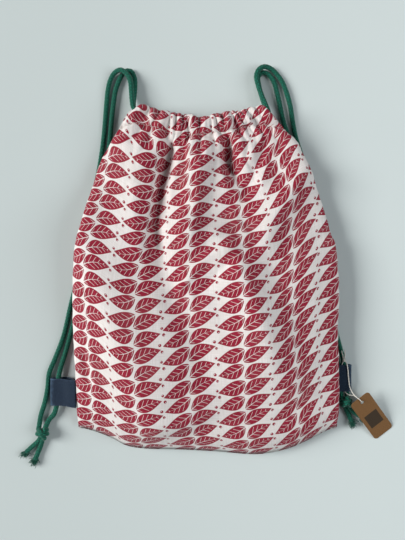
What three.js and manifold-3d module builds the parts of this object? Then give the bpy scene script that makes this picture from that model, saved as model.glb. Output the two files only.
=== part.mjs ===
// A cotton drawstring knapsack, lying on its back as it comes to rest when nothing holds it.
// Millimetres. X runs across the bag, Y from its bottom seam to its mouth, Z up.
// The origin is the middle of the flat patch of the back panel that the bag rests on.

import * as THREE from 'three';
import Module from 'manifold-3d';
import { mergeVertices } from 'three/addons/utils/BufferGeometryUtils.js';

const wasm = await Module();
wasm.setup();

// Driving dimensions: the bag
const bagWidth = 302;         // between the side seams, low down, with the bag lying filled with air
const bagHeight = 340;        // from the bottom corners to the casing's stitches at the sides
const bottomY = -168;         // where the bottom corners lie
const mouthWidth = 154;       // the top edge, drawn in
const casingHeight = 22;      // the tunnel that the cords run in
const clothWall = 1.2;        // the panel's wall
const bellyRise = 33;         // how far the front swells above the side seams
const leftSeamHeight = 21;    // the left side seam above the floor, half way up the bag
const rightSeamHeight = 12;
const bottomSeamHeight = 12;
const rightRoll = 10;         // the front cloth rolls this far past the right side seam
const backRoll = 52;          // width of the margin where the back panel lifts off the floor
const bottomRoll = 40;
const mouthSlit = 8;          // between the two casings
const ventStart = 0.9;        // share of the side seam above which the panels part
const ventLength = 26;        // how far in each end of the mouth the tunnels open towards each other

// Driving dimensions: cords, tabs and tag
const cordDiameter = 5.5;
const cordSides = 8;
const fitGap = 0.3;           // between pieces that touch
const boreHeight = cordDiameter + 1.1;
const boreLength = 17;        // two cords lie beside each other in a casing
const boreMiddle = 0.53;      // share of the casing's height above its stitches
const laneSpacing = 6.2;
const entryPlace = 0.735;     // where a cord enters its casing, from the mouth's middle (0) to its end (1)
const turnReach = 6;          // how far a cord swings out where it turns from one casing to the other
const tapeThickness = 1.5;
const tapeWidth = 31;
const leftTabReach = 31;      // from the left side seam to the tab's fold
const rightTabReach = 23.6;
const knotRadius = 8.3;
const tagWidth = 26;
const tagLength = 60;
const tagThickness = 0.8;
const tagCorner = 4;
const tagHoleRadius = 2;
const tagHoleInset = 7;
const stringDiameter = 1.2;

// How finely the cloth is divided
const clothColumns = 40;
const clothRows = 16;

const half = bagWidth / 2;
const cordRadius = cordDiameter / 2;
const cordStep = cordDiameter * 2.4;
const casingThickness = boreHeight + 2 * clothWall;
const backCasingZ = 0.5 + casingThickness / 2;
const frontCasingZ = backCasingZ + casingThickness + mouthSlit;

const mix = (a, b, share) => a + (b - a) * share;
const clamp01 = (value) => Math.min(1, Math.max(0, value));
const smooth = (low, high, value) => {
  const share = clamp01((value - low) / (high - low));
  return share * share * (3 - 2 * share);
};
const bump = (distance, width) => (
  Math.abs(distance) < width ? Math.cos((Math.PI / 2) * (distance / width)) ** 2 : 0
);

// A smooth line through hand-placed points, read at a share of its length.
function line(points) {
  const curve = new THREE.CatmullRomCurve3(points.map(([x, y]) => new THREE.Vector3(x, y, 0)));
  return (share) => curve.getPointAt(clamp01(share));
}

// A value that changes smoothly through [place, value] pairs.
function profile(pairs) {
  const slopeBetween = (a, b) => (pairs[b][1] - pairs[a][1]) / (pairs[b][0] - pairs[a][0]);
  const last = pairs.length - 1;
  const slopes = pairs.map((_, index) => {
    if (index === 0) return slopeBetween(0, 1);
    if (index === last) return slopeBetween(last - 1, last);
    const before = pairs[index][0] - pairs[index - 1][0];
    const after = pairs[index + 1][0] - pairs[index][0];
    const weight = before / (before + after);
    return mix(slopeBetween(index - 1, index), slopeBetween(index, index + 1), weight);
  });
  return (place) => {
    let index = 0;
    while (index < last - 1 && place > pairs[index + 1][0]) index += 1;
    const span = pairs[index + 1][0] - pairs[index][0];
    const share = clamp01((place - pairs[index][0]) / span);
    const bend = (1 - share) * slopes[index] - share * slopes[index + 1];
    const level = mix(pairs[index][1], pairs[index + 1][1], smooth(0, 1, share));
    return level + share * (1 - share) * bend * span;
  };
}

// Outlines of the lying bag, seen from above
const across = (share) => share * half;
const along = (share) => bottomY + share * bagHeight;
const side = (pairs) => line(pairs.map(([x, y]) => [across(x), along(y)]));

const leftOutline = side([
  [-0.993, 0], [-1.004, 0.05], [-1.008, 0.173], [-1.022, 0.347], [-1.018, 0.457], [-0.992, 0.605],
  [-0.953, 0.668], [-0.891, 0.782], [-0.823, 0.893], [-0.733, 0.963], [-0.672, 1],
]);
const rightOutline = side([
  [0.975, 0], [0.99, 0.055], [0.99, 0.128], [0.985, 0.2], [0.976, 0.346], [0.985, 0.43],
  [0.978, 0.524], [0.959, 0.615], [0.921, 0.659], [0.838, 0.779], [0.762, 0.866], [0.71, 0.917],
  [0.672, 0.953], [0.56, 1],
]);
const bottomOutline = line([
  [across(-0.993), along(0)], [across(-0.861), along(-0.016)], [across(-0.732), along(-0.039)],
  [across(-0.634), along(-0.062)], [across(-0.521), along(-0.072)], [across(-0.181), along(-0.077)],
  [across(0.06), along(-0.083)], [across(0.385), along(-0.092)], [across(0.611), along(-0.072)],
  [across(0.748), along(-0.046)], [across(0.9), along(-0.012)], [across(0.975), along(0)],
]);
const stitchOutline = line([
  [across(-0.672), along(1)], [across(-0.52), along(1.015)], [across(-0.33), along(0.99)],
  [across(-0.185), along(0.976)], [across(0), along(0.981)], [across(0.144), along(0.99)],
  [across(0.31), along(1.007)], [across(0.44), along(1.008)], [across(0.56), along(1)],
]);
const mouthX = (share) => mouthWidth * share;
const topOutline = line([
  [mouthX(-0.578), along(1.064)], [mouthX(-0.49), along(1.078)], [mouthX(-0.385), along(1.067)],
  [mouthX(-0.26), along(1.054)], [mouthX(-0.126), along(1.046)], [mouthX(-0.044), along(1.041)],
  [mouthX(0.081), along(1.054)], [mouthX(0.229), along(1.061)], [mouthX(0.348), along(1.076)],
  [mouthX(0.392), along(1.077)], [mouthX(0.425), along(1.062)],
]);

// Pleats of the drawn-in casing: place across the mouth, half width and height, as shares and millimetres.
const pleats = [
  { at: -0.82, width: 8, height: 3.4 }, { at: -0.61, width: 4.5, height: 2.4 },
  { at: -0.47, width: 6.5, height: 3.2 }, { at: -0.34, width: 4, height: 2.2 },
  { at: -0.21, width: 4.5, height: 2.8 }, { at: -0.08, width: 4, height: 2 },
  { at: 0.07, width: 6, height: 3 }, { at: 0.22, width: 4.5, height: 2.4 },
  { at: 0.4, width: 5.5, height: 3.2 }, { at: 0.55, width: 4, height: 2.2 },
  { at: 0.86, width: 10, height: 3.6 },
];

// Folds of the front: route, how far each reaches left and right of it, and height (negative is a valley).
// Each fades out along the last share of its route.
const folds = [
  { route: [[-35, 171], [-40, 160.7], [-46, 143.6], [-50, 127.7], [-56.4, 103.7], [-62, 70]],
    left: 11, right: 14, height: -9, fade: 0.3 },
  { route: [[-76, 176], [-79, 149], [-84, 92], [-80, 40], [-72, 10]],
    left: 34, right: 26, height: 8, fade: 0.35 },
  { route: [[-4, 180], [-4, 150], [-10, 110], [-18, 70], [-23, 36], [-24, 8]],
    left: 28, right: 18, height: 9.5, fade: 0.5 },
  { route: [[21.7, 168], [23, 150], [27, 130], [32, 108]],
    left: 12, right: 16, height: -10, fade: 0.3 },
  { route: [[46, 178], [52, 140], [60, 105], [66, 80]],
    left: 15, right: 19, height: 4, fade: 0.5 },
  { route: [[112, 134], [95, 108], [76, 80], [58, 40], [50, 20]],
    left: 27, right: 26, height: 9, fade: 0.35 },
  { route: [[-148, 70], [-138, 35], [-120, -22], [-101, -79], [-84, -136], [-64, -186]],
    left: 46, right: 74, height: 14, fade: 0.08 },
  { route: [[-40, 52], [-14, 48], [18, 40], [46, -22], [67, -79], [84, -136]],
    left: 34, right: 40, height: 10, fade: 0.35 },
  { route: [[-139, -82], [-136, -105], [-134, -128]], left: 9, right: 9, height: -3, fade: 0.5 },
];

function foldHeight(x, y) {
  let total = 0;
  for (const fold of folds) {
    const { route, left, right, height, fade } = fold;
    let best = Infinity;
    let bestShare = 0;
    let onLeft = false;
    for (let index = 0; index < route.length - 1; index += 1) {
      const [ax, ay] = route[index];
      const [bx, by] = route[index + 1];
      const lengthSquared = (bx - ax) ** 2 + (by - ay) ** 2;
      const share = clamp01(((x - ax) * (bx - ax) + (y - ay) * (by - ay)) / lengthSquared);
      const offX = x - mix(ax, bx, share);
      const offY = y - mix(ay, by, share);
      const distance = Math.hypot(offX, offY);
      if (distance < best) {
        best = distance;
        bestShare = (index + share) / (route.length - 1);
        onLeft = (bx - ax) * offY - (by - ay) * offX < 0;
      }
    }
    const reach = (onLeft ? left : right) * mix(0.75, 1.25, bestShare);
    total += height * bump(best, reach) * (1 - smooth(1 - fade, 1.001, bestShare));
  }
  return total;
}

// How high the front stands above the seams, from the bottom seam (0) to the casing's stitches (1)
const swell = profile([[0, 0], [0.035, 0.42], [0.13, 0.8], [0.4, 1], [0.72, 0.62], [1, 0.2]]);
const leftSeamZ = profile([[0, 0.6], [0.4, 1], [0.7, 0.95], [1, 0.62]]);
const rightSeamZ = profile([[0, 1], [1, 1.15]]);

function seamZ(s, t, casingZ, sign) {
  const left = leftSeamHeight * leftSeamZ(t);
  const right = rightSeamHeight * rightSeamZ(t);
  const share = (s + 1) / 2;
  const sides = mix(left, right, share);
  const corner = mix(leftSeamHeight * leftSeamZ(0), rightSeamHeight * rightSeamZ(0), share);
  const bottom = bottomSeamHeight - corner;
  const seam = sides + (bottom * (1 - Math.abs(s) ** 6)) * (1 - smooth(0, 0.5, t));
  return mix(seam + sign * (fitGap / 2), casingZ, smooth(ventStart, 1, t));
}

// The roll past the right side seam fades out at the bottom corner and towards the mouth.
const rollShare = (t) => smooth(0, 0.12, t) * (1 - smooth(0.6, 1, t));

// A point of the panel's plan, between its four outlines. s runs -1 to 1 across and t 0 to 1 upwards.
function planPoint(s, t) {
  const share = (Math.sin(s * (Math.PI / 2)) + 1) / 2;
  const left = leftOutline(t);
  const right = rightOutline(t);
  right.x -= rightRoll * rollShare(t);
  const bottom = bottomOutline(share);
  const top = stitchOutline(share);
  const corners = [leftOutline(0), rightOutline(0), leftOutline(1), rightOutline(1)];
  const coons = (axis) => (
    mix(left[axis], right[axis], share) + mix(bottom[axis], top[axis], t)
    - mix(mix(corners[0][axis], corners[1][axis], share), mix(corners[2][axis], corners[3][axis], share), t)
  );
  return new THREE.Vector2(coons('x'), coons('y'));
}

function frontPoint(s, t) {
  const plan = planPoint(s, t);
  const margin = clamp01((s - 0.7) / 0.3);
  const roll = rightRoll * rollShare(t) * 6.75 * margin ** 2 * (1 - margin);
  const crown = Math.cos(s * (Math.PI / 2)) ** mix(0.85, 0.62, (s + 1) / 2);
  const domed = seamZ(s, t, frontCasingZ, 1) + bellyRise * swell(t) * crown;
  const stitched = frontCasingZ + clothWall * 0.75;
  const inside = smooth(0, 0.16, crown) * smooth(0, 0.12, t);
  const z = mix(domed, stitched, smooth(0.93, 1, t)) + foldHeight(plan.x, plan.y) * inside
    * (1 - smooth(0.84, 0.98, t));
  return new THREE.Vector3(plan.x + roll, plan.y, z);
}

function backPoint(s, t) {
  const plan = planPoint(s, t);
  const rim = planPoint(Math.sign(s) || 1, t);
  const foot = planPoint(s, 0);
  const lift = (distance, width) => 1 - Math.sqrt(1 - clamp01(1 - distance / width) ** 2);
  const sideLift = lift(Math.abs(rim.x - plan.x), backRoll);
  const footLift = lift(plan.y - foot.y, bottomRoll);
  const edge = seamZ(s, t, backCasingZ, -1);
  const low = edge * (1 - (1 - sideLift) * (1 - footLift));
  const stitched = backCasingZ - clothWall * 0.75;
  return new THREE.Vector3(plan.x, plan.y, mix(low, stitched, smooth(0.93, 1, t)));
}

// The casing's section: distance above the stitches as a share of its height, and height off its axis.
const casingProfile = [
  [0.13, 0.75], [0.32, 1], [0.66, 1], [0.88, 0.72], [1, 0],
  [0.88, -0.72], [0.66, -1], [0.32, -1], [0.13, -0.75],
];
const boreSides = 8;

// A point of a casing at column s, a share of its height above the stitches, and z above the floor.
function casingPoint(s, share, z) {
  const columnShare = (Math.sin(s * (Math.PI / 2)) + 1) / 2;
  const stitch = stitchOutline(columnShare);
  const top = topOutline(columnShare);
  return new THREE.Vector3(mix(stitch.x, top.x, share), mix(stitch.y, top.y, share), z);
}

// The column that lies at a place between the mouth's ends, from -1 to 1
const columnOf = (place) => Math.asin(place) / (Math.PI / 2);

function pleatHeight(s) {
  const place = Math.sin(s * (Math.PI / 2));
  let total = 0;
  for (const pleat of pleats) {
    total += pleat.height * bump((place - pleat.at) * (mouthWidth / 2), pleat.width);
  }
  return total;
}

function casingRing(s, axisZ, up) {
  return casingProfile.map(([share, height]) => {
    const outward = height > 0 ? pleatHeight(s) * clamp01(height * 1.2) * (up > 0 ? 1 : 0.1) : 0;
    const z = axisZ + up * (height * (casingThickness / 2) + outward);
    return casingPoint(s, share, Math.max(z, fitGap));
  });
}

const boreCorner = (index) => {
  const angle = -((index + 0.5) / boreSides) * 2 * Math.PI;
  const reach = 1 / Math.cos(Math.PI / boreSides);
  return new THREE.Vector2(Math.cos(angle) * reach, Math.sin(angle) * reach);
};

function boreRing(s, axisZ, up) {
  const reach = boreLength / casingHeight / 2;
  return Array.from({ length: boreSides }, (_, index) => {
    const corner = boreCorner(index);
    return casingPoint(s, boreMiddle + reach * corner.x, axisZ + up * corner.y * (boreHeight / 2));
  });
}

// Joins neighbouring rings of points with triangles; every ring has the same number of points.
function stitchRings(rings, indices, offset) {
  const size = rings[0].length;
  for (let ring = 0; ring < rings.length - 1; ring += 1) {
    for (let place = 0; place < size; place += 1) {
      const a = offset + ring * size + place;
      const b = offset + ring * size + ((place + 1) % size);
      indices.push(a, b, a + size, b, b + size, a + size);
    }
  }
}

function signedVolume(geometry) {
  const position = geometry.attributes.position;
  const corner = (index) => new THREE.Vector3().fromBufferAttribute(position, geometry.index.getX(index));
  let volume = 0;
  for (let index = 0; index < geometry.index.count; index += 3) {
    volume += corner(index).dot(corner(index + 1).cross(corner(index + 2))) / 6;
  }
  return volume;
}

function toSolid(geometry) {
  const bare = geometry.clone();
  bare.deleteAttribute('normal');
  bare.deleteAttribute('uv');
  const merged = mergeVertices(bare, 1e-4);
  if (signedVolume(merged) < 0) merged.setIndex([...merged.index.array].reverse());
  return new wasm.Manifold(new wasm.Mesh({
    numProp: 3,
    vertProperties: new Float32Array(merged.attributes.position.array),
    triVerts: new Uint32Array(merged.index.array),
  }));
}

function toGeometry(solid) {
  const mesh = solid.getMesh();
  const geometry = new THREE.BufferGeometry();
  geometry.setAttribute('position', new THREE.BufferAttribute(mesh.vertProperties, 3));
  geometry.setIndex(new THREE.BufferAttribute(mesh.triVerts, 1));
  geometry.computeVertexNormals();
  return geometry;
}

// One panel with its casing: a thin wall that ends in a tunnel, open at both of its ends.
function panelSolid(point, axisZ, up) {
  const columns = clothColumns;
  const rows = clothRows;
  const shareOf = (index) => (index / columns) * 2 - 1;
  const heightOf = (index) => (index / rows) ** 1.25;
  const grid = [];
  for (let column = 0; column <= columns; column += 1) {
    grid.push(Array.from({ length: rows + 1 }, (_, row) => point(shareOf(column), heightOf(row))));
  }
  const rings = [];
  const bores = [];
  for (let column = 0; column <= columns; column += 1) {
    const s = shareOf(column);
    const outer = grid[column];
    const inner = outer.map((place, row) => {
      const acrossStep = grid[Math.min(column + 1, columns)][row].clone()
        .sub(grid[Math.max(column - 1, 0)][row]);
      const upStep = outer[Math.min(row + 1, rows)].clone().sub(outer[Math.max(row - 1, 0)]);
      const normal = acrossStep.cross(upStep).multiplyScalar(up).normalize();
      const sideLevel = Math.abs(s) === 1 ? 1 - smooth(ventStart, 1, heightOf(row)) : 0;
      normal.z *= row === 0 ? 0 : 1 - sideLevel;
      normal.normalize();
      return place.clone().addScaledVector(normal, -clothWall);
    });
    inner[rows] = outer[rows].clone().setZ(axisZ - up * clothWall * 0.75);
    rings.push([...outer, ...casingRing(s, axisZ, up), ...inner.reverse()]);
    bores.push(boreRing(s, axisZ, up));
  }
  const indices = [];
  const ringSize = rings[0].length;
  stitchRings(rings, indices, 0);
  const boreOffset = rings.length * ringSize;
  const boreIndices = [];
  stitchRings(bores, boreIndices, boreOffset);
  indices.push(...boreIndices.reverse());

  // Each end face is a narrow strip up the wall and the tunnel's end with its hole.
  const innerIndex = (row) => ringSize - 1 - row;
  const faces = [];
  for (let row = 0; row < rows; row += 1) {
    faces.push([row, row + 1, innerIndex(row + 1)], [row, innerIndex(row + 1), innerIndex(row)]);
  }
  const tunnelEnd = [[0, 0.1], ...casingProfile, [0, -0.1]].map((pair) => new THREE.Vector2(...pair));
  const reach = boreLength / casingHeight / 2;
  const hole = Array.from({ length: boreSides }, (_, index) => {
    const corner = boreCorner(index);
    return new THREE.Vector2(boreMiddle + reach * corner.x, corner.y * (boreHeight / casingThickness));
  });
  const flat = [...tunnelEnd, ...hole];
  const turnsLeft = ([p, q, r]) => flat[q].clone().sub(flat[p]).cross(flat[r].clone().sub(flat[p])) > 0;
  const endTurnsLeft = THREE.ShapeUtils.area(tunnelEnd) > 0;
  for (const face of THREE.ShapeUtils.triangulateShape(tunnelEnd, [hole])) {
    const ordered = turnsLeft(face) === endTurnsLeft ? face : [...face].reverse();
    faces.push(ordered.map((index) => (
      index < tunnelEnd.length ? rows + index : ringSize + index - tunnelEnd.length
    )));
  }
  const place = (index, column) => (
    index < ringSize ? column * ringSize + index : boreOffset + column * boreSides + (index - ringSize)
  );
  for (const [a, b, c] of faces) {
    indices.push(place(a, 0), place(c, 0), place(b, 0));
    indices.push(place(a, columns), place(b, columns), place(c, columns));
  }
  const geometry = new THREE.BufferGeometry();
  const points = [...rings.flat(), ...bores.flat()];
  const coordinates = points.flatMap((point) => point.toArray());
  geometry.setAttribute('position', new THREE.Float32BufferAttribute(coordinates, 3));
  geometry.setIndex(indices);
  return toSolid(geometry);
}

// The tunnels are open towards each other near the mouth's ends, where the cords cross over.
function ventCutter(end, axisZ, up) {
  const foot = casingPoint(end, 0, 0);
  const head = casingPoint(end, 1, 0);
  const spare = 12;
  const outX = (foot.x * end > head.x * end ? foot.x : head.x) + end * spare;
  const inX = mix(foot.x, head.x, 0.5) - end * ventLength;
  const height = casingThickness / 2 + spare / 2;
  const box = new THREE.BoxGeometry(Math.abs(outX - inX), head.y + spare - foot.y, height);
  box.translate(
    (outX + inX) / 2,
    (head.y + spare + foot.y) / 2,
    axisZ - up * (height / 2 + clothWall * 0.8),
  );
  return toSolid(box);
}

function withVents(solid, axisZ, up) {
  return solid.subtract(ventCutter(-1, axisZ, up)).subtract(ventCutter(1, axisZ, up));
}

// Cord routes, from the mouth of the casing over the top loop and along the floor to the knot.
const leftFrontRoute = [
  [-72.3, 191.1, 22], [-78, 192, 20.8], [-83.5, 194.6, 17.8], [-86.8, 199.6, 16], [-88.3, 208, 14.2],
  [-89.4, 219, 12], [-90.9, 231, 10.3], [-94.4, 238.7, 9.6], [-102.1, 243.9, 9.2],
  [-109.9, 241.6, 5.2], [-115, 234.1, 3.2], [-117.9, 222.2, 3], [-119.2, 210, 3],
  [-120.9, 187.8, 3], [-123, 164.4, 3], [-127.2, 135.2, 3], [-136.5, 88.5, 3],
  [-145.9, 41.8, 3], [-153.5, 0.9, 3], [-160.5, -26, 3], [-169.6, -64.6, 3], [-180, -92, 3],
  [-186.2, -107, 3], [-188.4, -126.5, 3], [-191.8, -143, 3], [-196, -157, 3.4], [-197.4, -170, 6.4],
];
const leftBackRoute = [
  [-72.3, 191.1, 5], [-78, 192, 6.6], [-83.5, 194.8, 9.3], [-86.8, 199.8, 9.4], [-87.6, 207, 6.8],
  [-87, 216, 3.8], [-86.3, 227.5, 3], [-87.2, 238, 3],
  [-91.3, 244.6, 3], [-97.2, 244.6, 3], [-102.4, 238.8, 3], [-106, 231, 3], [-109.1, 221.7, 3],
  [-111, 210, 3], [-113.4, 190.1, 3], [-115.6, 164.4, 3], [-119.6, 131.7, 3], [-128, 88.5, 3],
  [-137.4, 41.8, 3], [-148, -10.8, 3], [-159.3, -54.1, 3], [-167.5, -84.4, 3.2], [-172.6, -101, 4.4],
  [-175.2, -114, 5.1], [-176.3, -130, 5.1], [-177.6, -147, 5.1], [-180.8, -155.7, 4.2],
  [-186.4, -162.4, 4.2], [-190, -170.6, 6.4],
];
const rightFrontRoute = [
  [55.7, 183, 22], [61.5, 183.1, 21], [67.2, 185.4, 18.4], [68.4, 191, 16.8], [66, 198.5, 15.6],
  [60.6, 213, 13.2], [56.4, 227, 11], [54.9, 237, 9.4],
  [58, 244.7, 8.9], [64.6, 248.6, 7], [71.9, 247.2, 4.4], [78.7, 241.8, 3], [85.8, 231.8, 3],
  [91.4, 217.7, 3], [95.1, 203.6, 3], [97.9, 185.8, 3], [101.4, 167.9, 3], [110.4, 138.7, 3],
  [122, 96.7, 3], [133, 47.6, 3], [141.6, -10.8, 3], [146.6, -51.7, 3], [153, -78, 3.8],
  [156.4, -92, 5], [157.8, -106, 5], [158.8, -122, 5.1], [161, -134.6, 6.6],
];
const rightBackRoute = [
  [55.7, 183, 5], [61.5, 183.1, 6.1], [67.2, 185.4, 8.4], [68.6, 191, 9.4], [66.4, 198.5, 8.4],
  [62.4, 212, 4.6], [58.4, 228, 3], [57.4, 237.2, 3],
  [60.7, 242.6, 3], [66.8, 242.6, 3], [72.4, 238, 3], [77.1, 229.3, 3], [80.8, 214.2, 3],
  [84, 200.1, 3], [87.6, 183.7, 3], [93.4, 166.8, 3], [102.4, 138.7, 3], [114, 94.3, 3],
  [126.6, 44.1, 3], [135, -10.8, 3], [139, -51.7, 3], [145.6, -78, 4], [149.2, -91, 5.1],
  [151, -104, 5.1], [151.8, -120, 5.1], [154.4, -135, 6.6],
];

function roundSection(diameter, sides) {
  const shape = new THREE.Shape();
  for (let index = 0; index < sides; index += 1) {
    const angle = (index / sides) * 2 * Math.PI;
    const move = index === 0 ? 'moveTo' : 'lineTo';
    shape[move](Math.cos(angle) * (diameter / 2), Math.sin(angle) * (diameter / 2));
  }
  shape.closePath();
  return shape;
}

function tube(points, diameter, step, sides = cordSides) {
  const path = new THREE.CatmullRomCurve3(points.map((point) => new THREE.Vector3(...point)));
  const steps = Math.max(4, Math.round(path.getLength() / step));
  const shape = roundSection(diameter, sides);
  return new THREE.ExtrudeGeometry(shape, { steps, bevelEnabled: false, extrudePath: path });
}

// The stretch of a cord inside both casings, with its turn from one to the other at the far end.
// Places run from -1 at the mouth's left end to 1 at its right end.
const turnAngles = [0.2, 0.35, 0.5, 0.65, 0.8].map((share) => share * Math.PI);
function casingRun(lane, enter, turnPlace) {
  const share = boreMiddle + (lane * laneSpacing) / casingHeight / 2;
  const place = (position, z) => casingPoint(columnOf(position), share, z).toArray();
  const steps = 8;
  const places = Array.from({ length: steps + 1 }, (_, index) => (
    mix(enter * entryPlace, turnPlace, index / steps)
  ));
  const front = places.map((position) => place(position, frontCasingZ));
  const back = [...places].reverse().map((position) => place(position, backCasingZ));
  const [turnX, turnY] = front[steps];
  const middleZ = (frontCasingZ + backCasingZ) / 2;
  return [
    ...front,
    ...turnAngles.map((angle) => [
      turnX - enter * turnReach * Math.sin(angle),
      turnY,
      middleZ + (frontCasingZ - middleZ) * Math.cos(angle),
    ]),
    ...back,
  ];
}

// A folded tape sewn into a side seam: its section from the seam out to the fold and back
function tabGeometry(route) {
  const path = new THREE.CatmullRomCurve3(route.map(([x, z]) => new THREE.Vector3(x, z, 0)));
  const steps = 22;
  const offset = (share, distance) => {
    const point = path.getPointAt(share);
    const tangent = path.getTangentAt(share);
    return new THREE.Vector2(point.x - tangent.y * distance, point.y + tangent.x * distance);
  };
  const rim = (distance) => (
    Array.from({ length: steps + 1 }, (_, index) => offset(index / steps, distance))
  );
  const outline = [...rim(tapeThickness / 2), ...rim(-tapeThickness / 2).reverse()];
  const geometry = new THREE.ExtrudeGeometry(new THREE.Shape(outline), {
    depth: tapeWidth,
    bevelEnabled: false,
  });
  return geometry.rotateX(Math.PI / 2);
}

const leftTabTop = -113;
const leftTabX = -half - 2.3;
const leftFold = leftTabX - leftTabReach;
const leftTabRoute = [
  [leftTabX, 19.9], [leftTabX - 6, 17.6], [leftTabX - 14, 12.8], [leftFold + 9, 10.6],
  [leftFold + 3.4, 9.6], [leftFold + 0.8, 6], [leftFold + 3.4, 1.9], [leftFold + 10, 1.15],
  [leftTabX - 13, 1.6], [leftTabX - 7, 6], [leftTabX - 3, 12], [leftTabX, 16.6],
];
const rightTabTop = -97;
const rightTabX = half - rightRoll + 1.2;
const rightFold = rightTabX + rightTabReach;
const rightTabRoute = [
  [rightTabX, 11.2], [rightTabX + 6, 10.9], [rightTabX + 14, 10.7], [rightFold - 4, 9.9],
  [rightFold - 0.8, 6], [rightFold - 3.6, 1.8], [rightFold - 11, 1.15], [rightTabX + 4.4, 1.5],
  [rightTabX + 1.2, 3.8], [rightTabX + 0.2, 7.4],
];

// A knot of two strands: turns of cord round a core, and two short tails
function knotSolid(centre, tails, strands) {
  const at = new THREE.Vector3(...centre);
  const ringOf = (tilt, turn, reach) => {
    const ring = new THREE.TorusGeometry(knotRadius - cordRadius, cordRadius, cordSides, 16);
    ring.scale(1, reach, 1);
    ring.rotateX(tilt);
    ring.rotateZ(turn);
    return toSolid(ring.translate(at.x, at.y, at.z));
  };
  const core = new THREE.SphereGeometry(knotRadius * 0.62, 10, 8).translate(at.x, at.y, at.z);
  let solid = toSolid(core).add(ringOf(0.9, 0.5, 1.2)).add(ringOf(-0.8, -0.4, 1.15));
  for (const tail of tails) solid = solid.add(toSolid(tube(tail, cordDiameter, cordDiameter * 1.6)));
  const spare = cordDiameter + 4 * fitGap;
  for (const strand of strands) {
    const end = new THREE.SphereGeometry(spare / 2, 10, 8).translate(...strand[strand.length - 1]);
    solid = solid.subtract(toSolid(tube(strand, spare, cordStep))).subtract(toSolid(end));
  }
  const pieces = solid.decompose();
  return pieces.reduce((largest, piece) => (piece.volume() > largest.volume() ? piece : largest));
}

const leftKnotCentre = [-193.2, -176.6, 8.6];
const leftTails = [
  [[-195, -180, 5.6], [-199, -187, 3.4], [-206, -193.5, 3], [-213, -200, 3]],
  [[-193, -181, 5.6], [-195.5, -190, 3.4], [-199, -199.5, 3], [-202.8, -208.5, 3]],
];
const rightKnotCentre = [158.4, -141, 8.6];
const rightTails = [
  [[158.6, -145, 5.6], [160.6, -151, 3.6], [163.6, -157, 3], [166.6, -163.6, 3]],
  [[160.6, -144.6, 5.6], [166, -150.6, 3.4], [172, -155.2, 3], [178, -159, 3]],
];

// The tag leans on the right knot with its top edge; its foot is on the floor.
const tagTop = new THREE.Vector3(170.8, -133.4, 18.4);
const tagFoot = new THREE.Vector3(204.9, -177.6, 0.35);

function tagGeometry() {
  const shape = new THREE.Shape();
  const right = tagWidth / 2;
  const corner = Math.min(tagCorner, right * 0.9);
  shape.moveTo(-right + corner, 0);
  shape.lineTo(right - corner, 0);
  shape.absarc(right - corner, corner, corner, -Math.PI / 2, 0);
  shape.lineTo(right, tagLength - corner);
  shape.absarc(right - corner, tagLength - corner, corner, 0, Math.PI / 2);
  shape.lineTo(-right + corner, tagLength);
  shape.absarc(-right + corner, tagLength - corner, corner, Math.PI / 2, Math.PI);
  shape.lineTo(-right, corner);
  shape.absarc(-right + corner, corner, corner, Math.PI, 1.5 * Math.PI);
  const hole = new THREE.Path();
  hole.absarc(0, tagHoleInset, tagHoleRadius, 0, 2 * Math.PI);
  shape.holes.push(hole);
  return new THREE.ExtrudeGeometry(shape, { depth: tagThickness, bevelEnabled: false, curveSegments: 4 });
}

function placeTag(mesh) {
  const down = tagFoot.clone().sub(tagTop).normalize();
  const level = down.clone().cross(new THREE.Vector3(0, 0, 1)).normalize();
  const out = level.clone().cross(down).normalize();
  mesh.setRotationFromMatrix(new THREE.Matrix4().makeBasis(level, down, out));
  mesh.position.copy(tagTop);
}

// The tag's thread: from one free end through its knot, over the tab, through the tag and back.
const stringRoute = [
  [158, -80, 8.6], [157.4, -86, 9.2], [156.9, -91, 10.2], [158.6, -95.5, 12.6], [160, -103, 12.4],
  [161, -114, 12.2], [162.4, -123, 12.8], [166, -130.5, 17.4], [171, -134.6, 20.4], [174.8, -138.4, 17.6],
  [174, -137, 13.4], [168, -132.6, 11.6], [160.2, -131, 10.3], [155.2, -124.6, 8.2], [154.4, -110, 7.7],
  [154.2, -98, 7.9], [155, -93.6, 9], [155.2, -88, 8.8], [153.6, -81, 8.4],
];
const stringKnot = [156.2, -92, 9.9];

function stringSolid() {
  const thread = toSolid(tube(stringRoute, stringDiameter, stringDiameter * 2.6, 6));
  const knot = new THREE.SphereGeometry(stringDiameter * 1.5, 8, 6).translate(...stringKnot);
  return thread.add(toSolid(knot));
}

// Materials
const cotton = new THREE.MeshStandardMaterial({ color: 0xc98c92, roughness: 0.9, metalness: 0 });
const braid = new THREE.MeshStandardMaterial({ color: 0x0c6e4e, roughness: 0.85, metalness: 0 });
const tape = new THREE.MeshStandardMaterial({ color: 0x263750, roughness: 0.9, metalness: 0 });
const card = new THREE.MeshStandardMaterial({ color: 0x875f3c, roughness: 0.8, metalness: 0 });
const thread = new THREE.MeshStandardMaterial({ color: 0xe8e6e0, roughness: 0.9, metalness: 0 });

const bag = new THREE.Group();
function add(name, geometry, material) {
  const mesh = new THREE.Mesh(geometry, material.clone());
  mesh.name = name;
  bag.add(mesh);
  return mesh;
}

const upperLane = 1;
const lowerLane = -1;

const front = panelSolid(frontPoint, frontCasingZ, 1);
const back = panelSolid(backPoint, backCasingZ, -1);
add('front_panel', toGeometry(withVents(front, frontCasingZ, 1)), cotton);
add('back_panel', toGeometry(withVents(back, backCasingZ, -1)), cotton);

add('left_tab', tabGeometry(leftTabRoute).translate(0, leftTabTop, 0), tape);
add('right_tab', tabGeometry(rightTabRoute).translate(0, rightTabTop, 0), tape);

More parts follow.
